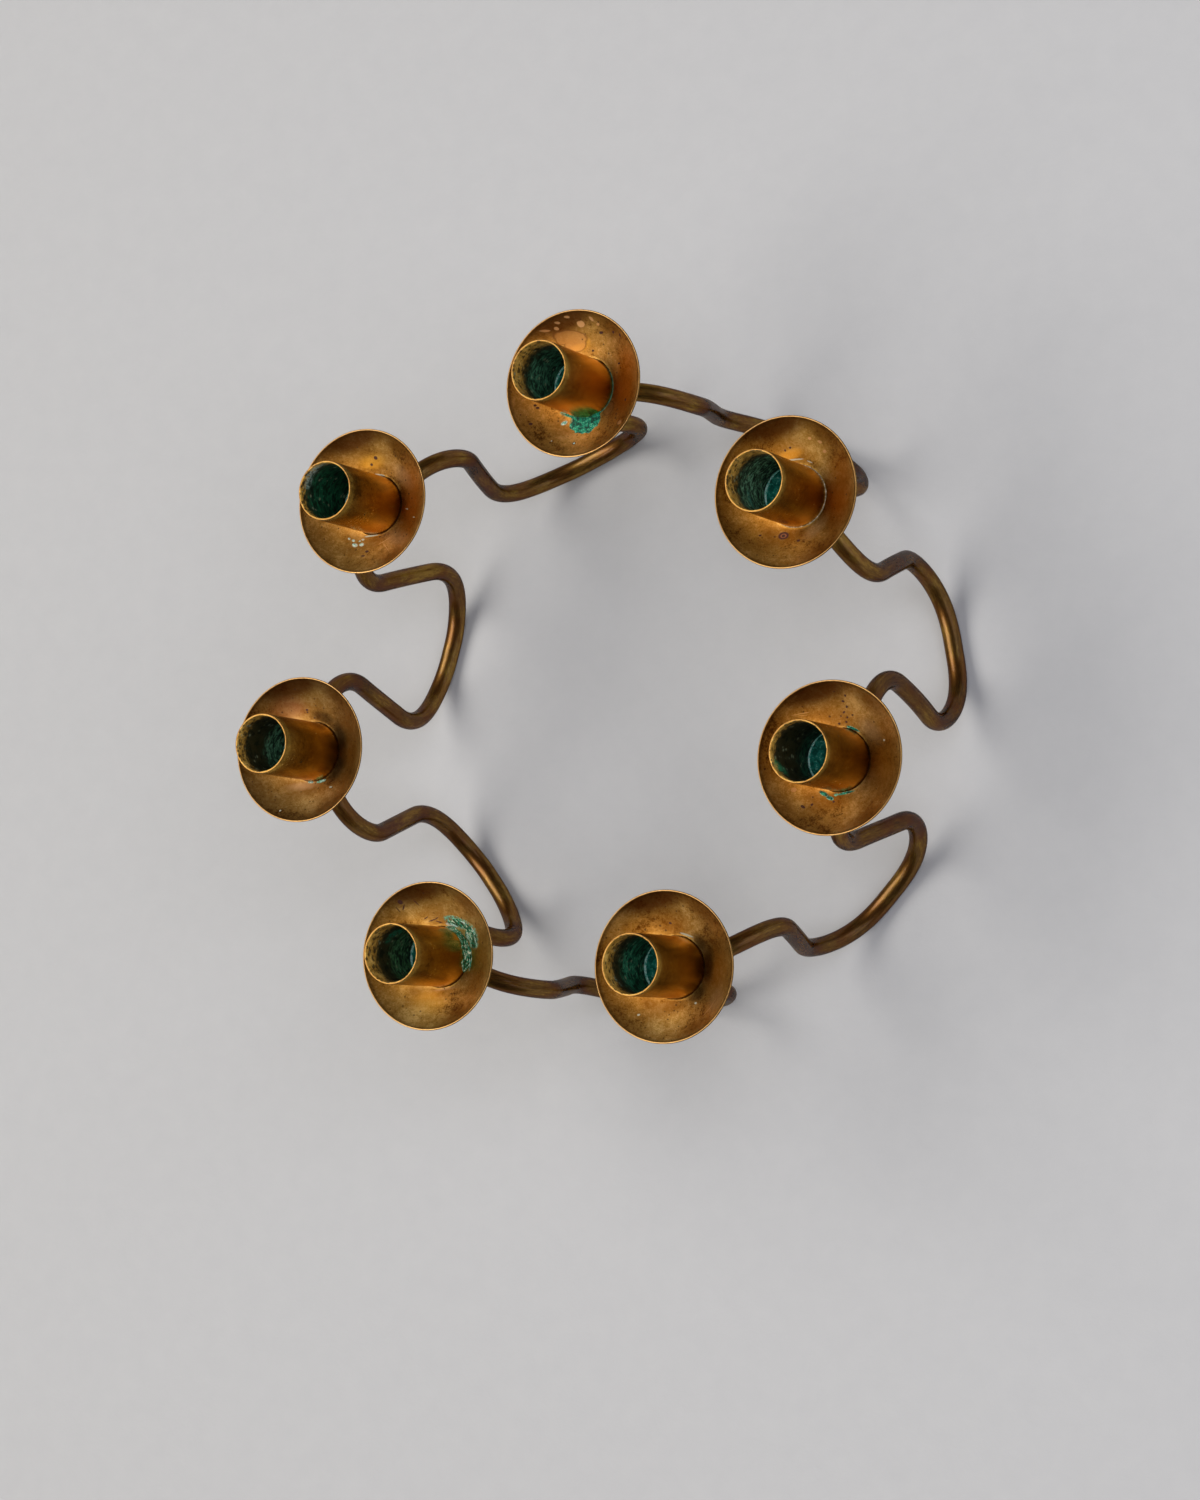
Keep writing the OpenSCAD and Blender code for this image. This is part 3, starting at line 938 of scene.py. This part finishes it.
def pan_finish(cup):
    finish, recipe, shader = new_finish(f"old spun brass, pan {cup}")
    place, own = own_place(recipe, cup, 0.37, 0.11)
    light, mid = PAN_TONES.get(cup, PAN_TONE)
    brass = recipe.effect(OLD_BRASS, {"Place": own, "Light": tone(light), "Mid": tone(mid)})
    green = recipe.effect(GREEN_CRUST, {"Place": own})
    masks = pan_masks(recipe, place, own, cup, green["Height"])
    state = (brass["Color"], brass["Roughness"], 1.0)
    for kind, share, color, rough, metal in LAYERS:
        if kind in masks:
            color = green["Color"] if kind == "green" else tone(color)
            state = lay(recipe, state, masks[kind], share, color, rough, metal)
    lines = recipe.effect(SPUN_LINES, {"Place": place})["Height"]
    height = recipe.maths("MULTIPLY_ADD", lines, LINES_WEIGHT, brass["Height"])
    if "green" in masks:
        crust = recipe.times(masks["green"], green["Height"])
        height = recipe.maths("MULTIPLY_ADD", crust, CRUST_WEIGHT, height)
    finish_off(recipe, shader, *state, height, FINE_BUMP)
    spin = recipe.add("Tangent", direction_type="RADIAL", axis="Z").outputs[0]
    recipe.fill(shader, {"Anisotropic": 0.6, "Anisotropic Rotation": 0.25, "Tangent": spin})
    return finish


pan_finishes = [pan_finish(cup) for cup in range(1, CUPS + 1)]
for piece, finish in zip(pans, pan_finishes):
    piece.data.materials.append(finish)
print("pan finishes:", len(pan_finishes))

# %% [markdown]
# ### The tubes
# Outside, a tube is drawn brass, browner than the dish and lighter at the foot with a painted
# reflection of it. Inside it was never cleaned: bare and mottled near the lip, dark tarnish below,
# darkened further by painted shade down the bore until it is almost black, and green further down.
# How deep these zones reach differs from tube to tube, so they are values of each cup, and single
# patches are placed one by one like the marks in the dishes.

# %% What the inside of each tube looks like
# For each cup: how deep below the lip the inside stays bare and how deep it stays dark, with
# tarnish and painted shade, both in millimetres, then how much of the green is pale, and the
# colour of most of it.
INSIDES = {
    1: (7, 13, 0.25, "#4a8666"), 2: (2.5, 6, 0.15, "#1f5e3e"), 3: (4.5, 22, 0.4, "#5a8e6a"),
    4: (7, 19, 0.3, "#4c8050"), 5: (6, 15, 0.3, "#2c8260"), 6: (3, 27, 0.15, "#2f6248"),
    7: (7, 12, 0.45, "#46694a")}

# Patches on the inner wall: angle, depth below the lip, half width, half height, colour.
PATCHES = {
    2: [(112, 2.2, 4, 1.6, "#94a391"), (135, 3, 4, 2.2, "#a9b8a6"),
        (160, 4.5, 2.5, 2.2, "#8fa496")],
    4: [(140, 15, 3.4, 2, "#1f8a68"), (128, 17, 2, 3, "#2f9a74")],
    5: [(212, 8, 1.2, 0.7, "#9fc4b4"), (222, 9.5, 1, 0.5, "#8fb8a8")],
    6: [(208, 4, 2.4, 2.6, "#1f8a58"), (216, 8, 2.2, 3, "#2f9464"),
        (185, 15, 1, 0.6, "#8a8a5c")],
    7: [(205, 20, 4, 1.5, "#3f8a7a")]}
print("patches on the inner walls:", sum(len(some) for some in PATCHES.values()))

# %% [markdown]
# Old brass looks darker and browner where one sees it at a slant. The shader's Specular
# Tint sets that colour, and it keeps the edges of the tube from shining white.

# %% Finish outside
# How strongly, and how far up in millimetres, a painted reflection of the dish lightens a tube at
# its foot.
FOOT_REFLECTION = (0.75, 24)
FEET_REFLECTION = {1: (1.0, 40), 5: (0.9, 30)}
FULLY_BRIGHT = 2


def tube_outside(cup):
    finish, recipe, shader = new_finish(f"old drawn brass, tube {cup}")
    place, own = own_place(recipe, cup, 0.23, 0.31)
    brass = recipe.effect(OLD_BRASS, {
        "Place": own, "Gloss": 0.2, "Haze": 0.12,
        "Light": tone("#bc9444"), "Mid": tone("#92702f"), "Dark": tone("#564018")})
    specks = recipe.effect(SPECKS, {"Place": own, "Spacing": 0.0035, "Share": 0.2})["Mask"]
    wear = recipe.effect(EDGE_WEAR, {
        "Place": place, "Edge height": TUBE_H * MM, "Width": WEAR_WIDTH * MM})["Mask"]
    share, reach = FEET_REFLECTION.get(cup, FOOT_REFLECTION)
    foot = recipe.ramp(recipe.part(place, 2), FULLY_BRIGHT * MM, reach * MM, 1.0, 0.0)
    state = (brass["Color"], brass["Roughness"], 1.0)
    # Painted reflection of the lit dish: the tube is lighter and glossier towards its foot.
    state = lay(recipe, state, foot, share, tone("#f0b45c"), 0.26, 1.0)
    state = lay(recipe, state, specks, 0.7, tone("#2c1808"), 0.6, 0.7)
    state = lay(recipe, state, wear, 0.7, tone("#906438"), 0.4, 1.0)
    finish_off(recipe, shader, *state, brass["Height"], FINE_BUMP)
    recipe.fill(shader, {"Specular Tint": tone("#eee2c6")})
    return finish


print("tubes to finish:", len(tubes))

# %% [markdown]
# The depth below the lip drives all the zones, and noise makes their borders ragged.
# Depth could be painted by hand instead, but a ramp over height can be read and changed.

# %% Finish inside
# How far the border of a zone wanders in all, and over how much height dark turns green
# on either side of it, in millimetres. The dark sets in between two shares of the depth
# that stays bare.
BORDER_WANDER = 18
GREEN_FADE = 3
DARK_FADE = (0.6, 1.5)


def tube_inside(cup):
    bare_depth, dark_depth, pale, body = INSIDES[cup]
    finish, recipe, shader = new_finish(f"green brass, tube {cup}")
    place, own = own_place(recipe, cup, 0.19, 0.41)
    flat = recipe.vector("MULTIPLY", own, (1, 1, 2.6))
    green = recipe.effect(GREEN_CRUST, {
        "Place": flat, "Pale share": pale, "Grain": 0.0032,
        "Deep": tone("#0a160c"), "Body": tone(body), "Pale": tone("#84b894")})
    brass = recipe.effect(OLD_BRASS, {
        "Place": own, "Gloss": 0.45, "Cloud size": 0.0034,
        "Light": tone("#f4ca6c"), "Mid": tone("#be8e38"), "Dark": tone("#2c200a")})
    specks = recipe.effect(SPECKS, {
        "Place": own, "Spacing": 0.0015, "Share": 0.5, "Size": 0.7})["Mask"]
    light = recipe.effect(SPECKS, {
        "Place": own, "Spacing": 0.0017, "Share": 0.16, "Size": 0.42})["Mask"]
    shaken = recipe.effect(SHAKEN, {"Place": place, "Reach": 0.004, "Grain": 420.0})["Place"]
    wander = recipe.minus(recipe.cloud(flat, 420.0, 5.0, 0.75), 0.5)
    ragged = recipe.times(wander, BORDER_WANDER * MM)
    height = recipe.plus(recipe.part(place, 2), ragged)
    depth = recipe.minus(TUBE_H * MM, height)
    dark = recipe.ramp(depth, *(bare_depth * MM * share for share in DARK_FADE))
    deep = recipe.ramp(depth, (dark_depth - GREEN_FADE) * MM, (dark_depth + GREEN_FADE) * MM)
    state = (brass["Color"], brass["Roughness"], 0.3)
    # Dark tarnish with painted shade down the bore, nearly black below the bare band.
    state = lay(recipe, state, dark, 0.97, tone("#191c0d"), 0.6, 0.0)
    state = lay(recipe, state, deep, 0.95, green["Color"], 0.75, 0.0)
    state = lay(recipe, state, specks, 0.8, tone("#0c0f08"), 0.7, 0.0)
    state = lay(recipe, state, light, 0.55, tone("#93997a"), 0.6, 0.0)
    crumbled = recipe.ramp(recipe.cloud(place, 1000.0, 4.0, 0.75), 0.42, 0.56)
    for angle, down, half_wide, half_high, text in PATCHES.get(cup, ()):
        a = math.radians(angle)
        centre = (BORE_R * MM * math.cos(a), BORE_R * MM * math.sin(a), (TUBE_H - down) * MM)
        patch = recipe.effect(SPOT, {
            "Place": shaken, "Centre": centre, "Soft": 0.45,
            "Size": (half_wide * MM, half_wide * MM, half_high * MM)})["Mask"]
        patch = recipe.times(patch, crumbled)
        state = lay(recipe, state, patch, 0.75, tone(text), 0.8, 0.0)
    finish_off(recipe, shader, *state, green["Height"], ROUGH_BUMP)
    return finish


print("bare brass reaches down", [INSIDES[cup][0] for cup in INSIDES], "mm")

# %% [markdown]
# A face belongs to the inside when it stands no further out than the step for the disc.
# Only the outer half of the lip is left bright, a line less than half a millimetre wide.

# %% Two materials on one tube
for cup, piece in enumerate(tubes, 1):
    piece.data.materials.append(tube_outside(cup))
    piece.data.materials.append(tube_inside(cup))
    for face in piece.data.polygons:
        if math.hypot(face.center.x, face.center.y) < (RECESS_R + 0.04) * MM:
            face.material_index = 1
print("tube finishes:", 2 * len(tubes))

# %% [markdown]
# ### Rods and saddles
# The rod is the darkest part: a thick brown skin over brass, streaked along its length,
# and nearly black at its sides. A texture in object space would cut across the bends, so
# each point of a rod knows how far along and round the rod it lies, and the streaks
# follow that. Reddish patches show where the skin is thin. A dark Specular Tint gives the
# black sides, and a thin coat the soft gleam.

# %% Finish of the rod
def rod_finish():
    finish, recipe, shader = new_finish("brown rod brass")
    place = recipe.add("Attribute", attribute_name="rod_place").outputs["Vector"]
    long_place = recipe.vector("MULTIPLY", place, (0.15, 1, 1))
    brass = recipe.effect(OLD_BRASS, {
        "Place": long_place, "Gloss": 0.34, "Haze": 0.14, "Cloud size": 0.008,
        "Light": tone("#a8843c"), "Mid": tone("#785729"), "Dark": tone("#523a20")})
    red = recipe.ramp(recipe.cloud(place, 60.0, 3.0, 0.6), 0.44, 0.6, 0.0, 0.5)
    color = recipe.mix(red, brass["Color"], tone("#70401e"))
    finish_off(recipe, shader, color, brass["Roughness"], 0.97, brass["Height"], FINE_BUMP)
    recipe.fill(shader, {"Specular Tint": tone("#584432"),
                         "Coat Weight": 0.25, "Coat Roughness": 0.12})
    return finish


brown = rod_finish()
for piece in rods:
    piece.data.materials.append(brown)
print("rods finished:", len(rods))

# %% [markdown]
# Saddles, screws and solder seams are small or in shadow. They share one plain recipe,
# dull and dark, with their own three tones.

# %% Plain old brass, for what is hardly seen
def plain_old(name, light, mid, dark, gloss):
    finish, recipe, shader = new_finish(name)
    place = recipe.add("TexCoord").outputs["Object"]
    brass = recipe.effect(OLD_BRASS, {
        "Place": place, "Gloss": gloss, "Cloud size": 0.006,
        "Light": tone(light), "Mid": tone(mid), "Dark": tone(dark)})
    finish_off(recipe, shader, brass["Color"], brass["Roughness"], 0.95, brass["Height"], 0.03)
    return finish


dull = plain_old("dull turned brass", "#a07c3e", "#7a5c2a", "#40301a", 0.4)
for piece in saddles:
    piece.data.materials.append(dull)
print("saddles finished:", len(saddles))

# %% [markdown]
# ## Crusts and beads
# The thickest verdigris stands up from the brass, and so does old wax. Colour alone would
# look flat from the side, so these get a shape of their own. Their finish is the green
# crust effect with other colours, down to the cream of wax.

# %% Finishes of crusts, wax and floors
def crust_finish(name, deep, body, pale, pale_share, grain,
                 rough=0.8, depth=0.4, blend=0.11, streaked=False):
    """A streaked crust has its lumps drawn out round the foot of the tube."""
    finish, recipe, shader = new_finish(name)
    place = recipe.add("TexCoord").outputs["Object"]
    if streaked:
        out = recipe.from_axis(place)
        across = recipe.add("CombineXYZ", {0: recipe.times(out, 1.5)}).outputs[0]
        place = recipe.vector("ADD", recipe.vector("MULTIPLY", place, (0.4, 0.4, 1)), across)
    green = recipe.effect(GREEN_CRUST, {
        "Place": place, "Pale share": pale_share, "Grain": grain, "Blend": blend,
        "Deep": tone(deep), "Body": tone(body), "Pale": tone(pale)})
    vary = recipe.between(green["Height"], rough - 0.15, rough + 0.1)
    finish_off(recipe, shader, green["Color"], vary, 0.0, green["Height"], depth)
    return finish


verdigris = crust_finish(
    "raised green crust", "#01362a", "#078262", "#86c49a", 0.36, 0.0013, blend=0.06)
flaking = crust_finish(
    "flaking green crust", "#26360f", "#067a56", "#e0e2bc", 0.45, 0.0012,
    blend=0.04, streaked=True)
mint = crust_finish("pale green crumbs", "#3f8c76", "#93b9a4", "#d2dcca", 0.5, 0.0008)
wax = crust_finish(
    "old wax", "#6c6248", "#97896c", "#cfc6ae", 0.4, 0.0012, rough=0.55, depth=0.2)
floor_green = crust_finish("green floor brass", "#0a5648", "#228c78", "#86cdb8", 0.3, 0.0018)
floor_edge = crust_finish("teal edge of the floor", "#4cae98", "#8cdccc", "#d8f6ea", 0.5, 0.0014)
for piece in floors:
    piece.data.materials.append(floor_green)
print("crust finishes:", verdigris.name, flaking.name, mint.name, wax.name)

# %% [markdown]
# A crust is two skins over one ragged outline: the upper one follows the dish and rises
# in lumps, the lower one lies just inside the metal, so no gap shows. Scattering small
# stones would look like gravel; these skins are soft and thin like the real crusts.

# %% Thin raised crusts in the dishes
def dish_height(r):
    """Height of the dish's upper face above its seat."""
    if r < seat_r:
        return 0.0
    return PAN_DEPTH + dish_up - math.sqrt(dish_in ** 2 - min(r, rim_in) ** 2)


# How deep the lower skin and the edge of a crust lie in the metal, and the furthest that
# a crust reaches out.
SKIN_SUNK, EDGE_SUNK = 0.08, 0.04
CRUST_END = rim_in - 0.3


def ragged_edge(b, along):
    """How far out a crust reaches at the angle b, as a share of its size."""
    where = Vector((math.cos(b) * 1.3, math.sin(b) * 1.3, along))
    return 1 + 0.28 * noise.noise(where) + 0.14 * noise.noise(where * 3.1)


def lumpiness(x, y):
    """How thick a crust is at a place, as a share of its thickness."""
    coarse = noise.noise(Vector((x, y, 3.0)) * 1.4)
    return 0.75 + 0.5 * coarse + 0.35 * noise.noise(Vector((x, y, 9.0)) * 4)


def crusts(name, cup, finish, patches, rings=9, sides=56):
    """Thin raised patches in a dish: x, y, half width, half height, turn and thickness."""
    points, faces = [], []
    for x, y, half_x, half_y, turn, thick in patches:
        start, turn = len(points), math.radians(turn)
        for side in (1, -1):
            for i in range(rings):
                share = i / (rings - 1)
                for k in range(sides):
                    b = 2 * math.pi * k / sides
                    reach = share * ragged_edge(b, x + y + cup)
                    u, v = half_x * reach * math.cos(b), half_y * reach * math.sin(b)
                    px = x + u * math.cos(turn) - v * math.sin(turn)
                    py = y + u * math.sin(turn) + v * math.cos(turn)
                    far = math.hypot(px, py)
                    kept = min(max(far, TUBE_R), CRUST_END)
                    px, py = px * kept / far, py * kept / far
                    rise = thick * lumpiness(px, py) * (1 - share ** 3)
                    rise = rise if side > 0 else -SKIN_SUNK
                    rise -= EDGE_SUNK if i == rings - 1 else 0
                    points.append((px, py, dish_height(kept) + rise))
        rows = list(range(start, len(points), sides))
        faces += between_rows(rows[:rings] + rows[:rings - 1:-1], sides)
    piece = make_piece(name, points, faces, cup_place(cup, SEAT_Z))
    piece.data.materials.append(finish)
    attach(piece, "root")


crusts("green_crust_1", 1, verdigris, [
    (1.3, -13.9, 6.8, 5, 0, 0.4), (-6.5, -11, 2.6, 0.6, -22, 0.25)])
crusts("pale_crumbs_1", 1, mint, [
    (-8, -14, 1.2, 0.7, 30, 0.45), (-1, -23, 0.4, 0.35, 0, 0.3)])
crusts("wax_specks_2", 2, mint, [
    (-7.6, -16.6, 1, 0.5, -20, 0.3), (-4.6, -16.4, 0.7, 0.5, 20, 0.3),
    (-8.5, -14.8, 0.5, 0.3, -30, 0.2), (-10.5, -14, 0.4, 0.25, -30, 0.2),
    (-5.8, -15, 0.4, 0.3, 40, 0.2)])
crusts("pale_crumbs_3", 3, mint, [
    (-0.5, -12.5, 1.2, 0.4, 0, 0.4), (5.2, -11.8, 1.5, 0.4, 22, 0.35)])
crusts("green_crust_4", 4, flaking, [
    (14.2, 8.6, 3, 4.4, 30, 0.35), (13.2, 0.5, 1.1, 4.4, 3, 0.3),
    (9, 13.4, 4.5, 1.5, -18, 0.3), (4.5, 13.7, 2.4, 0.9, -4, 0.25)])
crusts("pale_crumbs_4", 4, mint, [
    (5, 12.9, 2.4, 0.4, -18, 0.4), (12.2, 8.8, 2, 0.4, -62, 0.45),
    (15.6, 10.5, 0.4, 1.8, 30, 0.4), (13.3, -1.5, 0.4, 1.8, 4, 0.45),
    (16.6, 7, 0.3, 2, 14, 0.4), (10.5, 13.9, 2, 0.3, -26, 0.4)])
crusts("green_crust_6", 6, verdigris, [
    (-6, -13, 1.9, 0.6, -25, 0.25), (-3.3, -14.6, 1.4, 0.5, -20, 0.25),
    (4.5, 12.1, 2.6, 0.4, -20, 0.3), (3, -12.5, 3.2, 0.4, 14, 0.3)])
print("crusts laid")

# %% [markdown]
# Solder, wax and verdigris gather in the corner where a tube meets its dish, and the
# green edge of each floor does so inside. A small wedge carried round the corner, thick
# here and thin there, makes all of them.

# %% Beads round the feet and round the floors
# How deep a bead reaches into the wall and into the ground, and its hidden corner into both.
INTO_WALL, INTO_GROUND, CORNER_SUNK = 0.05, 0.03, 0.15


def bead(name, cup, finish, radius, level, width, height,
         inward=False, swell=None, sides=180):
    """An uneven bead in the corner between a tube's wall and what it stands on."""
    points, section = [], 7
    way = -1 if inward else 1
    for i in range(sides):
        a = 2 * math.pi * i / sides
        where = Vector((math.cos(a) * 2.2, math.sin(a) * 2.2, cup * 4.0 + level))
        uneven = 1 + 0.5 * noise.noise(where) + 0.35 * noise.noise(where * 4)
        size = max(0.25, uneven) * (swell(a) if swell else 1)
        for k in range(section):
            share = k / (section - 1)
            out = width * size * (1 - share) ** 1.4
            up = height * size * share ** 1.4
            r = radius + way * (out - INTO_WALL)
            z = (level if inward else dish_height(r)) + up - INTO_GROUND * (1 - share)
            points.append((r * math.cos(a), r * math.sin(a), z))
        r = radius - way * CORNER_SUNK
        points.append((r * math.cos(a), r * math.sin(a), level - CORNER_SUNK))
    rows = list(range(0, len(points), section + 1)) + [0]
    faces = between_rows(rows, section + 1)
    if not inward:
        faces = [tuple(reversed(face)) for face in faces]
    piece = make_piece(name, points, faces, cup_place(cup, SEAT_Z))
    piece.data.materials.append(finish)
    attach(piece, "root")


seam_green = crust_finish("green seam", "#2c4a38", "#4f7a5c", "#8fa67c", 0.3, 0.0012)
seam = plain_old("dark solder seam", "#8a5f28", "#553715", "#281806", 0.35)
for cup in range(1, CUPS + 1):
    if cup == 7:
        bead("wax_ring_7", cup, wax, TUBE_R, 0, 0.42, 0.4)
    else:
        bead(f"solder_{cup}", cup, seam, TUBE_R, 0, 0.5, 0.4)
    bead(f"floor_edge_{cup}", cup, floor_edge, BORE_R, FLOOR_T, 0.6, 0.9, True)
print("beads round feet and floors:", 2 * CUPS)

# %% [markdown]
# Round the feet of cups 1 and 4 the green climbs from the dish up the tube, but only on
# one side. The same bead does this, when it is given a function that says how much it
# swells at each angle.

# %% Green that climbs one side of a foot
def right_of_foot(a):
    """Full size round the right of a foot, and nothing at its upper left."""
    return 0.15 + 0.85 * max(0.0, math.cos(a + math.radians(25))) ** 0.5


def facing(middle, half, fade):
    """Full size up to half on either side of the middle, thinning out over fade, in degrees."""
    def size(a):
        away = abs((math.degrees(a) - middle + 180) % 360 - 180)
        return 0.05 + 0.95 * max(0.0, min(1.0, (half + fade - away) / fade))
    return size


bead("green_foot_1", 1, verdigris, TUBE_R, 0, 1.1, 1.5, swell=facing(-85, 22, 16))
bead("green_foot_4", 4, flaking, TUBE_R, 0, 1.5, 4, swell=facing(27, 38, 22))
bead("green_seam_1", 1, seam_green, TUBE_R + 0.2, 0, 0.32, 0.3, swell=right_of_foot)
print("green climbs the feet of cups 1 and 4")

# %% [markdown]
# The screws are right as the solids give them, so they stay, and only their material is
# changed. A loaded solid is never moved or edited.

# %% Screws
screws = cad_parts["cup_screws"]
screw_finish = plain_old("green grey screw brass", "#5f6a4a", "#3f4a34", "#20261a", 0.5)
screws.data.materials.clear()
screws.data.materials.append(screw_finish)
print("screws finished as:", screw_finish.name)

# %% [markdown]
# ## Floor, camera and lights
# The holder stands on a plain pale floor. Even a plain floor isn't one flat colour: a
# little cloudiness and a faint tooth keep the shadows lifelike.

# %% Floor
bpy.ops.mesh.primitive_plane_add(size=8, location=(0, 0, 0))
ground = bpy.context.active_object
ground.name = "pale_floor"
pale, recipe, shader = new_finish("pale floor")
place = recipe.add("TexCoord").outputs["Object"]
plaster = recipe.cloud(place, 90.0, 4.0, 0.6)
color = recipe.mix(plaster, tone("#acacac"), tone("#b3b3b2"))
finish_off(recipe, shader, color, recipe.between(plaster, 0.8, 0.95), 0.0, plaster, ROUGH_BUMP)
ground.data.materials.append(pale)
print("floor:", ground.name)

# %% [markdown]
# The camera stands where the photographer's did: high above the table, to one side, and
# rolled. A camera turned by hand never quite fits, so the angles are given as numbers:
# how far to the side, how high, and how far rolled, round a point between the cups.

# %% Camera at the photograph's viewing angle
CAMERA_AIM = Vector((20.28, -25.13, 129.0)) * MM
CAMERA_DISTANCE = 1.3726
CAMERA_SIDE = math.radians(-8.67)
CAMERA_RISE = math.radians(62.86)
CAMERA_ROLL = math.radians(-79.43)
CAMERA_LENS = 84.59
SENSOR_WIDTH = 36

back = Vector((math.cos(CAMERA_SIDE) * math.cos(CAMERA_RISE),
               math.sin(CAMERA_SIDE) * math.cos(CAMERA_RISE), math.sin(CAMERA_RISE)))
camera = bpy.data.objects.new("camera", bpy.data.cameras.new("camera"))
camera.data.lens = CAMERA_LENS
camera.data.sensor_width = SENSOR_WIDTH
camera.location = CAMERA_AIM + back * CAMERA_DISTANCE
turn = back.to_track_quat("Z", "Y").to_matrix() @ Matrix.Rotation(CAMERA_ROLL, 3, "Z")
camera.rotation_euler = turn.to_euler()
bpy.context.collection.objects.link(camera)
bpy.context.scene.camera = camera
RIGHT, UP, BACK = turn.col[0], turn.col[1], turn.col[2]
print("camera stands at", [round(v, 3) for v in camera.location])

# %% [markdown]
# The main light is a tall window on the left of the picture. That shows in each dish as
# two lobes, and on each rod as one long soft streak. A darker room fills the rest: a pale
# wall on the right, and two boxes that reach down into the tubes. These two are
# hidden from reflections, because metal would show them as grey patches.

# %% Lights
# Side, rise and front say which way a light lies: to picture right, up and to the camera.
# Then come its distance, width and height in metres, its power in watts, its colour, and
# whether metal mirrors it.
SOFT_BOXES = {
    "tall window": (-0.84, 0.05, 0.52, 3.0, 2.1, 4.2, 119, "#fffbf6", True),
    "pale wall on the right": (0.7, 0.05, 0.7, 2.6, 1.5, 2.4, 11, "#eef2ff", True),
    "room on the right": (0.62, 0.08, 0.9, 2.6, 1.8, 1.8, 16, "#f2f4ff", False),
    "room behind the camera": (0.02, 0.08, 0.9, 2.6, 1.8, 1.8, 34, "#f2f4ff", False),
}
LIT_POINT = Vector((0, 0, 0.1))
ROOM_GLOW = 0.07


def soft_box(name, side, rise, front, distance, wide, tall, power, colour, mirrored):
    lamp = bpy.data.lights.new(name, "AREA")
    lamp.shape, lamp.size, lamp.size_y = "RECTANGLE", wide, tall
    lamp.energy, lamp.color = power, tone(colour)[:3]
    box = bpy.data.objects.new(name, lamp)
    towards = (RIGHT * side + UP * rise + BACK * front).normalized()
    upright = (UP - UP.dot(towards) * towards).normalized()
    across = upright.cross(towards)
    box.rotation_euler = Matrix((across, upright, towards)).transposed().to_euler()
    box.location = LIT_POINT + towards * distance
    box.visible_glossy = mirrored
    bpy.context.collection.objects.link(box)


for name, place_and_light in SOFT_BOXES.items():
    soft_box(name, *place_and_light)
world = bpy.data.worlds.new("room")
bpy.context.scene.world = world
world.use_nodes = True
background = world.node_tree.nodes["Background"].inputs
background["Color"].default_value = tone("#b8b8bc")
background["Strength"].default_value = ROOM_GLOW
bpy.context.scene.view_settings.view_transform = "Standard"
print("lights:", len(bpy.data.lights))
